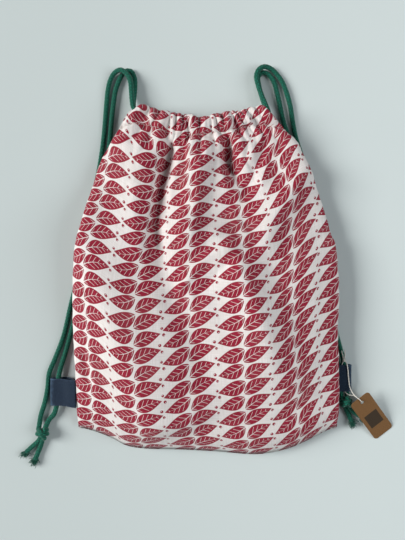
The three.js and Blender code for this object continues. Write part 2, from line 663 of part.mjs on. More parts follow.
add('left_cord_front', tube(leftFrontRoute, cordDiameter, cordStep), braid);
add('left_cord_back', tube(leftBackRoute, cordDiameter, cordStep), braid);
add('right_cord_front', tube(rightFrontRoute, cordDiameter, cordStep), braid);
add('right_cord_back', tube(rightBackRoute, cordDiameter, cordStep), braid);
add('left_cord_run', tube(casingRun(upperLane, -1, 0.79), cordDiameter, cordStep), braid);
add('right_cord_run', tube(casingRun(lowerLane, 1, -0.87), cordDiameter, cordStep), braid);

const leftKnot = knotSolid(leftKnotCentre, leftTails, [leftFrontRoute, leftBackRoute]);
const rightKnot = knotSolid(rightKnotCentre, rightTails, [rightFrontRoute, rightBackRoute]);
add('left_knot', toGeometry(leftKnot), braid);
add('right_knot', toGeometry(rightKnot), braid);

placeTag(add('hang_tag', tagGeometry(), card));
add('tag_string', toGeometry(stringSolid()), thread);

export default bag;
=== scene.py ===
import math

import bmesh
import bpy
import numpy as np
from mathutils import Matrix, Vector


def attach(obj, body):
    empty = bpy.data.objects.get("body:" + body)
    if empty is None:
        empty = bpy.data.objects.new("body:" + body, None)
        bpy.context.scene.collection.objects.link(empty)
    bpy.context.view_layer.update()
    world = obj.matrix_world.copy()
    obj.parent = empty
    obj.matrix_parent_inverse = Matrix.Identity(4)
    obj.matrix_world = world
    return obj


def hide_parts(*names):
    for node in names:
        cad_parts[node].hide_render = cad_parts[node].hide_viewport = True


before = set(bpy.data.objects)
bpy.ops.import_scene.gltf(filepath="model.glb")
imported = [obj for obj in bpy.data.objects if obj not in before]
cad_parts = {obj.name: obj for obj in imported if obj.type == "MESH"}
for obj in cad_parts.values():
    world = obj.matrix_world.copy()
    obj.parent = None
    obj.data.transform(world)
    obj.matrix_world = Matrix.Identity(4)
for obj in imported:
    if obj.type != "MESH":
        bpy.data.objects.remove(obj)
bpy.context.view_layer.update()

# The bag lies on its back. Lengths are millimetres until a mesh is made; X across, Y to the mouth, Z up.
MM = 0.001
FULL_TURN = 6.28

# Sizes of the bag, the same values as the part's source
BAG_WIDTH = 302.0
BAG_HEIGHT = 340.0
BOTTOM_Y = -168.0
MOUTH_WIDTH = 154.0
CASING_HEIGHT = 22.0
WALL = 1.2
BELLY_RISE = 33.0
LEFT_SEAM_HEIGHT = 21.0
RIGHT_SEAM_HEIGHT = 12.0
BOTTOM_SEAM_HEIGHT = 12.0
RIGHT_ROLL = 10.0
BACK_ROLL = 52.0
BOTTOM_ROLL = 40.0
MOUTH_SLIT = 8.0
CORD_DIAMETER = 5.5
FIT_GAP = 0.3
BORE_HEIGHT = CORD_DIAMETER + 1.1
CASING_THICKNESS = BORE_HEIGHT + 2 * WALL
BACK_CASING_Z = 0.5 + CASING_THICKNESS / 2
FRONT_CASING_Z = BACK_CASING_Z + CASING_THICKNESS + MOUTH_SLIT
VENT_START = 0.9

# Sizes of the cloth as it was cut
CLOTH = 0.6

# The camera looks straight down from this height, its frame this wide at the bag's middle height
CAMERA_HEIGHT = 620.0
VIEW_HEIGHT = 18.0
MM_PER_PIXEL = 1.14
PHOTO_WIDTH = 405
PHOTO_HEIGHT = 540
ORIGIN_PIXEL = (209.0, 281.0)
SENSOR = 36.0

# How round a fold's crest is, as a share of its reach
FOLD_ROUND = 0.22


# Small maths

def mix(a, b, share):
    return a + (b - a) * share


def clamp01(value):
    return np.clip(value, 0.0, 1.0)


def smooth(low, high, value):
    share = clamp01((np.asarray(value, float) - low) / (high - low))
    return share * share * (3 - 2 * share)


def crest(distance, width):
    """1 on a fold's line and 0 past its width, with a narrow round at the line, as stiff cloth folds."""
    share = np.clip(np.abs(distance) / width, 0, 1)
    rounded = np.sqrt(share ** 2 + FOLD_ROUND ** 2) - FOLD_ROUND
    return clamp01(1 - rounded / (math.sqrt(1 + FOLD_ROUND ** 2) - FOLD_ROUND)) ** 1.5


def spline(points, per_span=24):
    """Centripetal Catmull-Rom through the points, as a dense line."""
    p = np.array(points, float)
    p = np.vstack([2 * p[0] - p[1], p, 2 * p[-1] - p[-2]])
    pieces = []
    for i in range(1, len(p) - 2):
        p0, p1, p2, p3 = p[i - 1:i + 3]
        d0, d1, d2 = (
            max(np.linalg.norm(b - a), 1e-6) ** 0.5 for a, b in ((p0, p1), (p1, p2), (p2, p3))
        )
        t1 = ((p1 - p0) / d0 - (p2 - p0) / (d0 + d1) + (p2 - p1) / d1) * d1
        t2 = ((p2 - p1) / d1 - (p3 - p1) / (d1 + d2) + (p3 - p2) / d2) * d1
        last = i == len(p) - 3
        t = np.linspace(0, 1, per_span + 1)[:None if last else -1, None]
        pieces.append(
            p1 + t1 * t + (3 * (p2 - p1) - 2 * t1 - t2) * t ** 2 + (2 * (p1 - p2) + t1 + t2) * t ** 3
        )
    return np.vstack(pieces)


def lengths_along(points):
    steps = np.linalg.norm(np.diff(points, axis=0), axis=1)
    return np.concatenate([[0], np.cumsum(steps)])


def resample(points, count):
    """The same line with its points evenly spaced."""
    places = lengths_along(points)
    wanted = np.linspace(0, places[-1], count)
    return np.stack([np.interp(wanted, places, column) for column in points.T], axis=1)


def line(points):
    """A smooth line through given points, read at a share of its length."""
    dense = spline([(x, y) for x, y in points])
    places = lengths_along(dense)
    places = places / places[-1]

    def read(share):
        share = clamp01(np.asarray(share, float))
        return np.interp(share, places, dense[:, 0]), np.interp(share, places, dense[:, 1])
    return read


def profile(pairs):
    """A value that changes smoothly through (place, value) pairs."""
    places, values = np.array(pairs, float).T
    slopes = np.gradient(values, places)

    def read(place):
        place = np.asarray(place, float)
        index = np.clip(np.searchsorted(places, place, side="right") - 1, 0, len(places) - 2)
        span = places[index + 1] - places[index]
        share = clamp01((place - places[index]) / span)
        bend = share * (1 - share)
        return (
            mix(values[index], values[index + 1], share * share * (3 - 2 * share))
            + bend * ((1 - share) * slopes[index] - share * slopes[index + 1]) * span
        )
    return read


# Meshes

def placed(name, data):
    """An object of this name in the scene, with its place at the origin."""
    piece = bpy.data.objects.new(name, data)
    bpy.context.scene.collection.objects.link(piece)
    return piece


def make_mesh(name, vertices, faces, uvs=None):
    """A mesh from points in millimetres. uvs holds one pair for each vertex."""
    mesh = bpy.data.meshes.new(name)
    mesh.from_pydata((np.asarray(vertices) * MM).tolist(), [], [list(face) for face in faces])
    if uvs is not None:
        layer = mesh.uv_layers.new(name="UVMap")
        corner_vertex = np.empty(len(mesh.loops), dtype=np.int32)
        mesh.loops.foreach_get("vertex_index", corner_vertex)
        layer.data.foreach_set("uv", np.asarray(uvs, np.float32)[corner_vertex].ravel())
    mesh.validate()
    mesh.update()
    mesh.shade_smooth()
    return placed(name, mesh)


def pairs_round(ring):
    """Each item of a ring with the next one."""
    return list(zip(ring, ring[1:] + ring[:1]))


def grid_faces(rows, columns, wrap=False, offset=0):
    """Faces of a grid whose vertices run along each row in turn. wrap joins each row's ends."""
    faces = []
    span = columns if wrap else columns - 1
    for start in range(offset, offset + (rows - 1) * columns, columns):
        for column in range(span):
            a = start + column
            b = start + (column + 1) % columns
            faces.append((a, b, b + columns, a + columns))
    return faces


def finish_piece(piece, node, slot_name, *materials):
    for material in materials:
        piece.data.materials.append(material)
    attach(piece, "root")
    if node:
        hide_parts(node)
    return piece


# Tubes: cords and thread

def frames_along(points):
    """Tangent and two normals at each point, turned as little as possible from one to the next."""
    tangents = np.gradient(points, axis=0)
    tangents /= np.linalg.norm(tangents, axis=1)[:, None]
    up = np.array([0.0, 0.0, 1.0])
    if abs(tangents[0] @ up) > 0.9:
        up = np.array([1.0, 0.0, 0.0])
    normal = up - tangents[0] * (tangents[0] @ up)
    normal /= np.linalg.norm(normal)
    normals = [normal]
    for tangent in tangents[1:]:
        normal = normals[-1] - tangent * (tangent @ normals[-1])
        normals.append(normal / np.linalg.norm(normal))
    normals = np.array(normals)
    return tangents, normals, np.cross(tangents, normals)


def tube_mesh(name, route, diameter, relief, sides, step):
    """A tube along a smooth route, its ends closed. relief(around, along) adds to the radius."""
    dense = spline(route)
    count = max(8, int(lengths_along(dense)[-1] / step))
    path = resample(dense, count)
    places = lengths_along(path)
    _, normals, sideways = frames_along(path)
    around = np.linspace(0, 2 * np.pi, sides, endpoint=False)
    radius = diameter / 2 + relief(around[None, :], places[:, None])
    outward = (
        np.cos(around)[None, :, None] * normals[:, None, :]
        + np.sin(around)[None, :, None] * sideways[:, None, :]
    )
    rings = path[:, None, :] + radius[..., None] * outward
    vertices = np.vstack([rings.reshape(-1, 3), path[:1], path[-1:]])
    faces = [face[::-1] for face in grid_faces(count, sides, wrap=True)]
    first, last = len(vertices) - 2, len(vertices) - 1
    last_ring = (count - 1) * sides
    for index in range(sides):
        after = (index + 1) % sides
        faces.append((after, index, first))
        faces.append((last_ring + index, last_ring + after, last))
    uvs = np.stack([
        np.tile(np.linspace(0, np.pi * diameter, sides, endpoint=False), count),
        np.repeat(places, sides),
    ], axis=1)
    uvs = np.vstack([uvs, [[0, 0]], [[0, places[-1]]]])
    piece = make_mesh(name, vertices, faces, uvs)
    close_uv_round(piece, np.pi * diameter)
    recalculate(piece)
    return piece, path


def close_uv_round(piece, girth):
    """Lets the UV run on past the last side of a tube, not back to the first."""
    layer = piece.data.uv_layers["UVMap"].data
    values = np.empty(len(layer) * 2, np.float32)
    layer.foreach_get("uv", values)
    values = values.reshape(-1, 2)
    for face in piece.data.polygons:
        corners = np.array(face.loop_indices)
        if np.ptp(values[corners, 0]) > girth / 2:
            low = corners[values[corners, 0] < girth / 2]
            values[low, 0] += girth
    layer.foreach_set("uv", values.ravel())


def recalculate(piece):
    """Turns every face outwards."""
    work = bmesh.new()
    work.from_mesh(piece.data)
    bmesh.ops.recalc_face_normals(work, faces=work.faces)
    work.to_mesh(piece.data)
    work.free()


# Camera

def add_camera():
    data = bpy.data.cameras.new("camera")
    camera = placed("camera", data)
    x = (PHOTO_WIDTH / 2 - ORIGIN_PIXEL[0]) * MM_PER_PIXEL
    y = (ORIGIN_PIXEL[1] - PHOTO_HEIGHT / 2) * MM_PER_PIXEL
    camera.location = (x * MM, y * MM, CAMERA_HEIGHT * MM)
    data.sensor_width = SENSOR
    data.lens = SENSOR * (CAMERA_HEIGHT - VIEW_HEIGHT) / (PHOTO_HEIGHT * MM_PER_PIXEL)
    data.clip_start = 0.01
    bpy.context.scene.camera = camera


add_camera()

# Cord routes, from the mouth of the casing over the top loop and along the floor to the knot

LEFT_FRONT_ROUTE = [
    (-72.3, 191.1, 22), (-78, 192, 20.8), (-83.5, 194.6, 17.8), (-86.8, 199.6, 16), (-88.3, 208, 14.2),
    (-89.4, 219, 12), (-90.9, 231, 10.3), (-94.4, 238.7, 9.6), (-102.1, 243.9, 9.2), (-109.9, 241.6, 5.2),
    (-115, 234.1, 3.2), (-117.9, 222.2, 3), (-119.2, 210, 3), (-120.9, 187.8, 3), (-123, 164.4, 3),
    (-127.2, 135.2, 3), (-136.5, 88.5, 3), (-145.9, 41.8, 3), (-153.5, 0.9, 3), (-160.5, -26, 3),
    (-169.6, -64.6, 3), (-180, -92, 3), (-186.2, -107, 3), (-188.4, -126.5, 3), (-191.8, -143, 3),
    (-196, -157, 3.4), (-197.4, -170, 6.4),
]
LEFT_BACK_ROUTE = [
    (-72.3, 191.1, 5), (-78, 192, 6.6), (-83.5, 194.8, 9.3), (-86.8, 199.8, 9.4), (-87.6, 207, 6.8),
    (-87, 216, 3.8), (-86.3, 227.5, 3), (-87.2, 238, 3), (-91.3, 244.6, 3), (-97.2, 244.6, 3),
    (-102.4, 238.8, 3), (-106, 231, 3), (-109.1, 221.7, 3), (-111, 210, 3), (-113.4, 190.1, 3),
    (-115.6, 164.4, 3), (-119.6, 131.7, 3), (-128, 88.5, 3), (-137.4, 41.8, 3), (-148, -10.8, 3),
    (-159.3, -54.1, 3), (-167.5, -84.4, 3.2), (-172.6, -101, 4.4), (-175.2, -114, 5.1),
    (-176.3, -130, 5.1), (-177.6, -147, 5.1), (-180.8, -155.7, 4.2), (-186.4, -162.4, 4.2),
    (-190, -170.6, 6.4),
]
RIGHT_FRONT_ROUTE = [
    (55.7, 183, 22), (61.5, 183.1, 21), (67.2, 185.4, 18.4), (68.4, 191, 16.8), (66, 198.5, 15.6),
    (60.6, 213, 13.2), (56.4, 227, 11), (54.9, 237, 9.4), (58, 244.7, 8.9), (64.6, 248.6, 7),
    (71.9, 247.2, 4.4), (78.7, 241.8, 3), (85.8, 231.8, 3), (91.4, 217.7, 3), (95.1, 203.6, 3),
    (97.9, 185.8, 3), (101.4, 167.9, 3), (110.4, 138.7, 3), (122, 96.7, 3), (133, 47.6, 3),
    (141.6, -10.8, 3), (146.6, -51.7, 3), (153, -78, 3.8), (156.4, -92, 5), (157.8, -106, 5),
    (158.8, -122, 5.1), (161, -134.6, 6.6),
]
RIGHT_BACK_ROUTE = [
    (55.7, 183, 5), (61.5, 183.1, 6.1), (67.2, 185.4, 8.4), (68.6, 191, 9.4), (66.4, 198.5, 8.4),
    (62.4, 212, 4.6), (58.4, 228, 3), (57.4, 237.2, 3), (60.7, 242.6, 3), (66.8, 242.6, 3),
    (72.4, 238, 3), (77.1, 229.3, 3), (80.8, 214.2, 3), (84, 200.1, 3), (87.6, 183.7, 3),
    (93.4, 166.8, 3), (102.4, 138.7, 3), (114, 94.3, 3), (126.6, 44.1, 3), (135, -10.8, 3),
    (139, -51.7, 3), (145.6, -78, 4), (149.2, -91, 5.1), (151, -104, 5.1), (151.8, -120, 5.1),
    (154.4, -135, 6.6),
]

LEFT_KNOT = (-193.2, -176.6, 8.6)
LEFT_TAILS = [
    [(-195, -180, 5.6), (-199, -187, 3.4), (-206, -193.5, 3), (-213, -200, 3)],
    [(-193, -181, 5.6), (-195.5, -190, 3.4), (-199, -199.5, 3), (-202.8, -208.5, 3)],
]
RIGHT_KNOT = (158.4, -141, 8.6)
RIGHT_TAILS = [
    [(158.6, -145, 5.6), (160.6, -151, 3.6), (163.6, -157, 3), (166.6, -163.6, 3)],
    [(160.6, -144.6, 5.6), (166, -150.6, 3.4), (172, -155.2, 3), (178, -159, 3)],
]
STRING_ROUTE = [
    (158, -80, 8.6), (157.4, -86, 9.2), (156.9, -91, 10.2), (158.6, -95.5, 12.6), (160, -103, 12.4),
    (161, -114, 12.2), (162.4, -123, 12.8), (166, -130.5, 17.4), (171, -134.6, 20.4),
    (174.8, -138.4, 17.6), (174, -137, 13.4), (168, -132.6, 11.6), (160.2, -131, 10.3),
    (155.2, -124.6, 8.2), (154.4, -110, 7.7), (154.2, -98, 7.9), (155, -93.6, 9), (155.2, -88, 8.8),
    (153.6, -81, 8.4),
]
STRING_KNOT = (156.2, -92, 9.9)

BRAID_CARRIERS = 6
BRAID_YARNS = 7
BRAID_PITCH = 4.0
BRAID_RELIEF = 0.52


def braid_relief(around, along):
    """The rounded floats of a braided sleeve, each over one way and then the other."""
    turn = BRAID_CARRIERS * around / (2 * np.pi)
    climb = along / BRAID_PITCH
    a, b = turn + climb, turn - climb
    across_a, across_b = np.sin(np.pi * (a % 1)), np.sin(np.pi * (b % 1))
    float_a = np.sqrt(across_b) * (0.55 + 0.45 * across_a)
    float_b = np.sqrt(across_a) * (0.55 + 0.45 * across_b)
    over = (np.floor(a) + np.floor(b)) % 2 == 0
    return BRAID_RELIEF * (np.where(over, float_a, float_b) - 0.55)


def add_cord(name, route):
    """A free strand from the casing's mouth to its knot."""
    piece, path = tube_mesh(name, route, CORD_DIAMETER, braid_relief, sides=24, step=0.85)
    finish_piece(piece, name.replace("strand", "cord"), "green_cord", BRAID)
    tuple(value * MM for value in route[0])
    [tuple(value * MM for value in point) for point in route]


# The bag's outlines, seen from above

def across(share):
    return share * BAG_WIDTH / 2


def along(share):
    return BOTTOM_Y + share * BAG_HEIGHT


def outline(pairs):
    return line([(across(x), along(y)) for x, y in pairs])


LEFT_OUTLINE = outline([
    (-0.993, 0), (-1.004, 0.05), (-1.008, 0.173), (-1.022, 0.347), (-1.018, 0.457), (-0.992, 0.605),
    (-0.953, 0.668), (-0.891, 0.782), (-0.823, 0.893), (-0.733, 0.963), (-0.672, 1),
])
RIGHT_OUTLINE = outline([
    (0.975, 0), (0.99, 0.055), (0.99, 0.128), (0.985, 0.2), (0.976, 0.346), (0.985, 0.43),
    (0.978, 0.524), (0.959, 0.615), (0.921, 0.659), (0.838, 0.779), (0.762, 0.866), (0.71, 0.917),
    (0.672, 0.953), (0.56, 1),
])
BOTTOM_OUTLINE = outline([
    (-0.993, 0), (-0.861, -0.016), (-0.732, -0.039), (-0.634, -0.062), (-0.521, -0.072),
    (-0.181, -0.077), (0.06, -0.083), (0.385, -0.092), (0.611, -0.072), (0.748, -0.046),
    (0.9, -0.012), (0.975, 0),
])
STITCH_OUTLINE = outline([
    (-0.672, 1), (-0.52, 1.015), (-0.33, 0.99), (-0.185, 0.976), (0, 0.981), (0.144, 0.99),
    (0.31, 1.007), (0.44, 1.008), (0.56, 1),
])
TOP_OUTLINE = line([
    (MOUTH_WIDTH * x, along(y)) for x, y in [
        (-0.578, 1.064), (-0.49, 1.078), (-0.385, 1.067), (-0.26, 1.054), (-0.126, 1.046),
        (-0.044, 1.041), (0.081, 1.054), (0.229, 1.061), (0.348, 1.076), (0.392, 1.077), (0.425, 1.062),
    ]
])

# Folds that run down the front: route, how far they reach left and right of it, height (negative is a
# valley) and the last share of the route along which they fade
FOLDS = [
    ([(-33, 178), (-37, 168), (-40, 160.7), (-46, 143.6), (-50, 127.7), (-56.4, 103.7), (-60, 70),
      (-59, 36), (-52, 6), (-40, -26)], 9.5, 15, -19, 0.62),
    ([(-76, 176), (-79, 149), (-84, 92), (-80, 40), (-72, 10)], 34, 26, 8, 0.35),
    ([(-4, 180), (-4, 150), (-10, 110), (-18, 70), (-23, 36), (-24, 8)], 28, 18, 9.5, 0.5),
    ([(18, 178), (21, 168), (22, 150), (25, 130), (32, 112), (36, 96)], 12, 15, -20, 0.45),
    ([(46, 178), (52, 140), (60, 105), (66, 80)], 15, 19, 4, 0.5),
    ([(112, 134), (95, 108), (76, 80), (58, 40), (50, 20)], 27, 26, 9, 0.35),
    ([(60, 150), (50, 118), (40, 96), (31, 80)], 14, 12, -6, 0.5),
    ([(-30, -6), (-6, 22), (24, 42), (50, 52)], 10, 13, 3.4, 0.75),
    ([(-12, -16), (14, 14), (34, 32), (58, 40)], 13, 11, -3, 0.7),
    ([(28, 74), (40, 52), (46, 24)], 12, 9, 1.8, 0.7),
    ([(-52, 96), (-42, 60), (-36, 24)], 10, 12, -2.6, 0.7),
    ([(-148, 70), (-138, 35), (-116, -22), (-92, -79), (-70, -136), (-48, -186)], 46, 70, 15, 0.08),
    ([(-30, 56), (-10, 50), (18, 40), (46, -22), (67, -79), (84, -136)], 38, 36, 13, 0.3),
    ([(-56, 40), (-44, 2), (-26, -40), (0, -90), (20, -140)], 28, 30, -5, 0.4),
    ([(-131, 114), (-96, 104), (-67, 79)], 15, 12, -2, 0.5),
    ([(-139, -82), (-136, -105), (-134, -128)], 9, 9, -3, 0.5),
    ([(-130, -72), (-124, -120), (-116, -165)], 10, 10, 2.5, 0.4),
    ([(140, 60), (118, 44), (96, 36)], 12, 9, -1.8, 0.6),
    ([(132, -130), (112, -118), (88, -112)], 8, 8, -1.6, 0.6),
]


def fold_height(x, y):
    """The height that the folds add at each place."""
    total = np.zeros_like(x)
    for route, left, right, height, fade in FOLDS:
        curve = spline(route, 8)
        start, step = curve[:-1], np.diff(curve, axis=0)
        px = x[..., None] - start[:, 0]
        py = y[..., None] - start[:, 1]
        share = clamp01((px * step[:, 0] + py * step[:, 1]) / (step ** 2).sum(axis=1))
        dx, dy = px - share * step[:, 0], py - share * step[:, 1]
        distance = np.hypot(dx, dy)
        best = distance.argmin(axis=-1)[..., None]

        def nearest(values):
            return np.take_along_axis(values, best, axis=-1)[..., 0]
        side = nearest(step[:, 0] * dy - step[:, 1] * dx)
        place = (best[..., 0] + nearest(share)) / len(step)
        reach = np.where(side > 0, right, left) * (0.75 + 0.5 * place)
        total += height * crest(nearest(distance), reach) * (1 - smooth(1 - fade, 1.001, place))
    return total


# Ridges of the drawn-in cloth at the mouth: place across it, half width, height, and how far each runs
# down the bag, in millimetres
RIDGES = [
    (-76.5, 8.5, 6, 60), (-60.5, 4, 4.8, 22), (-50, 6.4, 6.6, 70), (-38.6, 2.8, 4.6, 12),
    (-32.8, 3.2, 5.8, 26), (-26.8, 2.6, 4.4, 10), (-18.4, 5.2, 6.8, 85), (-7, 6.2, 5, 24),
    (2.2, 3, 5.8, 30), (8.4, 3.2, 4.4, 12), (17.2, 5.2, 6.8, 60), (26, 2.6, 5.4, 22),
    (31, 2.4, 4.2, 9), (36.2, 3.4, 6, 26), (45.5, 4.6, 4.6, 30), (57, 8.6, 5.8, 90),
]
MOUTH_MIDDLE = -11.8
MOUTH_HALF = 77.2


def gathers(place, below):
    """Height of the gathers at a place across the mouth (-1 to 1), this far below the stitches, or above
    them where below is negative. Each wanders and swells on its way."""
    x = MOUTH_MIDDLE + place * MOUTH_HALF
    under = np.maximum(below, 0)
    total = np.zeros(np.broadcast(place, below).shape)
    for index, (at, width, height, reach) in enumerate(RIDGES):
        wander = 0.3 * width * np.sin(below / (4.5 + index % 4) + 2.4 * index)
        swell = 1 + 0.3 * np.sin(below / (3.4 + index % 3) + 4.1 * index) * (1 - smooth(0, 30, under))
        spread = width * (1.06 + under / 260)
        ridge = (1 - np.clip((x - at - wander) / spread, -1, 1) ** 2) ** 0.75
        rise = (0.8 + 0.35 * smooth(0, 9, under)) * swell
        total = np.maximum(total, height * rise * ridge * np.exp(-1.6 * (under / reach) ** 1.3))
    return total


def waves(x, y, seed, count, shortest, longest):
    """Gentle random unevenness, at most about 1 high."""
    random = np.random.default_rng(seed)
    total = np.zeros_like(x)
    for _ in range(count):
        angle = random.uniform(0, np.pi)
        length = random.uniform(shortest, longest)
        phase = random.uniform(0, 2 * np.pi)
        total += np.sin(2 * np.pi * (x * np.cos(angle) + y * np.sin(angle)) / length + phase)
    return total / np.sqrt(count)


PINCH = 0.42


def pinches(x, y):
    """Small upright creases that the stitches draw into the cloth."""
    return waves(x, y * 0.2, seed=17, count=9, shortest=3.6, longest=8.5)


SWELL = profile([(0, 0), (0.035, 0.42), (0.13, 0.8), (0.4, 1), (0.72, 0.62), (1, 0.2)])
LEFT_SEAM_Z = profile([(0, 0.6), (0.4, 1), (0.7, 0.95), (1, 0.62)])
RIGHT_SEAM_Z = profile([(0, 1), (1, 1.15)])


def seam_z(s, t, casing_z, sign):
    """Height of the side and bottom seams, carried on across the panel."""
    share = (s + 1) / 2
    sides = mix(LEFT_SEAM_HEIGHT * LEFT_SEAM_Z(t), RIGHT_SEAM_HEIGHT * RIGHT_SEAM_Z(t), share)
    corner = mix(LEFT_SEAM_HEIGHT * LEFT_SEAM_Z(0), RIGHT_SEAM_HEIGHT * RIGHT_SEAM_Z(0), share)
    bottom = BOTTOM_SEAM_HEIGHT - corner
    seam = sides + bottom * (1 - np.abs(s) ** 6) * (1 - smooth(0, 0.5, t))
    return mix(seam + sign * FIT_GAP / 2, casing_z, smooth(VENT_START, 1, t))


def roll_share(t):
    """How far the front's roll past the right seam is there, from the bottom (0) to the casing (1)."""
    return smooth(0, 0.12, t) * (1 - smooth(0.6, 1, t))


def plan_point(s, t):
    """Where a place of a panel lies, seen from above. s runs -1 to 1 across and t 0 to 1 upwards."""
    share = (np.sin(s * np.pi / 2) + 1) / 2
    left, right = LEFT_OUTLINE(t), RIGHT_OUTLINE(t)
    right = (right[0] - RIGHT_ROLL * roll_share(t), right[1])
    bottom, top = BOTTOM_OUTLINE(share), STITCH_OUTLINE(share)
    corners = [LEFT_OUTLINE(0), RIGHT_OUTLINE(0), LEFT_OUTLINE(1), RIGHT_OUTLINE(1)]
    found = []
    for axis in (0, 1):
        low = mix(corners[0][axis], corners[1][axis], share)
        high = mix(corners[2][axis], corners[3][axis], share)
        found.append(
            mix(left[axis], right[axis], share) + mix(bottom[axis], top[axis], t) - mix(low, high, t)
        )
    return found[0], found[1]


def front_point(s, t):
    x, y = plan_point(s, t)
    margin = clamp01((s - 0.7) / 0.3)
    roll = RIGHT_ROLL * roll_share(t) * 6.75 * margin ** 2 * (1 - margin)
    crown = np.cos(s * np.pi / 2).clip(0, 1) ** mix(0.85, 0.62, (s + 1) / 2)
    domed = seam_z(s, t, FRONT_CASING_Z, 1) + BELLY_RISE * SWELL(t) * crown
    stitched = FRONT_CASING_Z + WALL * 0.75
    inside = smooth(0, 0.16, crown) * smooth(0, 0.12, t)
    z = mix(domed, stitched, smooth(0.93, 1, t)) + fold_height(x, y) * inside * (1 - smooth(0.9, 1, t))
    return np.stack([x + roll, y, z], axis=-1)


def back_point(s, t):
    x, y = plan_point(s, t)
    rim, _ = plan_point(np.where(s < 0, -1.0, 1.0), t)
    _, foot = plan_point(s, np.zeros_like(t))

    def lift(distance, width):
        return 1 - np.sqrt(1 - clamp01(1 - distance / width) ** 2)
    side_lift = lift(np.abs(rim - x), BACK_ROLL)
    foot_lift = lift(y - foot, BOTTOM_ROLL)
    low = seam_z(s, t, BACK_CASING_Z, -1) * (1 - (1 - side_lift) * (1 - foot_lift))
    stitched = BACK_CASING_Z - WALL * 0.75
    return np.stack([x, y, mix(low, stitched, smooth(0.93, 1, t))], axis=-1)


# The casing's section from the stitches up outside, over the top and down inside to its hem:
# share of its height above the stitches, and height off its middle as a share of half its thickness
CASING_SECTION = [
    (0, 0.2), (0.13, 0.75), (0.32, 0.98), (0.5, 1), (0.68, 0.98), (0.88, 0.72), (0.97, 0.36), (1, 0),
    (0.97, -0.36), (0.88, -0.72), (0.68, -0.98), (0.5, -1), (0.32, -0.98), (0.13, -0.75), (0, -0.35),
    (-0.2, -0.32), (-0.36, -0.3),
]


def casing_point(place, share, z):
    """A point of the casing: place across the mouth (-1 to 1), share of its height, and z."""
    column = (place + 1) / 2
    stitch, top = STITCH_OUTLINE(column), TOP_OUTLINE(column)
    return np.stack(np.broadcast_arrays(
        mix(stitch[0], top[0], share), mix(stitch[1], top[1], share), z), axis=-1)


def grid_normals(grid, up):
    """Unit normals of a grid of points, on the outside of its panel."""
    sideways = np.gradient(grid, axis=1)
    upwards = np.gradient(grid, axis=0)
    normals = np.cross(sideways, upwards) * up
    return normals / np.maximum(np.linalg.norm(normals, axis=-1, keepdims=True), 1e-9)


# The stretch of a cord inside both casings, with its turn from one to the other at the far end
BORE_MIDDLE = 0.53
LANE_SPACING = 6.2
ENTRY_PLACE = 0.735
TURN_REACH = 6.0
TURN_SHARES = (0.2, 0.35, 0.5, 0.65, 0.8)


def casing_run(lane, enter, turn_place):
    """The route of a run in its lane, from the end of the mouth where it enters."""
    share = BORE_MIDDLE + lane * LANE_SPACING / CASING_HEIGHT / 2
    places = np.linspace(enter * ENTRY_PLACE, turn_place, 9)
    ahead = [tuple(casing_point(place, share, FRONT_CASING_Z)) for place in places]
    behind = [tuple(casing_point(place, share, BACK_CASING_Z)) for place in places[::-1]]
    x, y, _ = ahead[-1]
    middle = (FRONT_CASING_Z + BACK_CASING_Z) / 2
    turn = [
        (x - enter * TURN_REACH * math.sin(share * math.pi), y,
         middle + (FRONT_CASING_Z - middle) * math.cos(share * math.pi))
        for share in TURN_SHARES
    ]
    return ahead + turn + behind


# How finely the cloth is divided, and how far its turned edges reach in, in millimetres
CLOTH_COLUMNS = 236
BODY_ROWS = 112
CASING_ROWS = 34
TURNED_EDGE = (1.2, 4, 8)
HEM_ROWS = 14

# How much of the gathers shows on each panel, the height of the cloth's unevenness and of the puckers
# beside its side seams, how far in those reach, and the least height of a casing above the floor
FRONT_GATHERS = 1.0
BACK_GATHERS = 0.45
UNEVENNESS = 0.35
PUCKER = 0.3
PUCKER_REACH = 9
FLOOR_GAP = 0.35


def turned_in(grid, normals):
    """The grid with its sides and foot turned in under it, as hems and seam allowances are."""
    def hem(rows, row_normals):
        """Rows to put before the first, each under the row that lies one of the turned reaches away."""
        steps = np.linalg.norm(np.diff(rows[:HEM_ROWS], axis=0), axis=-1).mean(axis=1)
        places = np.concatenate([[0], np.cumsum(steps)])
        under = [max(int(np.abs(places - reach).argmin()), 1) for reach in TURNED_EDGE[::-1]]
        return np.stack([rows[index] - row_normals[index] for index in under])
    columns, column_normals = grid.swapaxes(0, 1), normals.swapaxes(0, 1)
    left = hem(columns, column_normals)
    right = hem(columns[::-1], column_normals[::-1])[::-1]
    wide = np.concatenate([left, columns, right]).swapaxes(0, 1)
    spare = len(TURNED_EDGE)
    wide_normals = np.pad(normals, ((0, 0), (spare, spare), (0, 0)), mode="edge")
    return np.concatenate([hem(wide, wide_normals), wide])


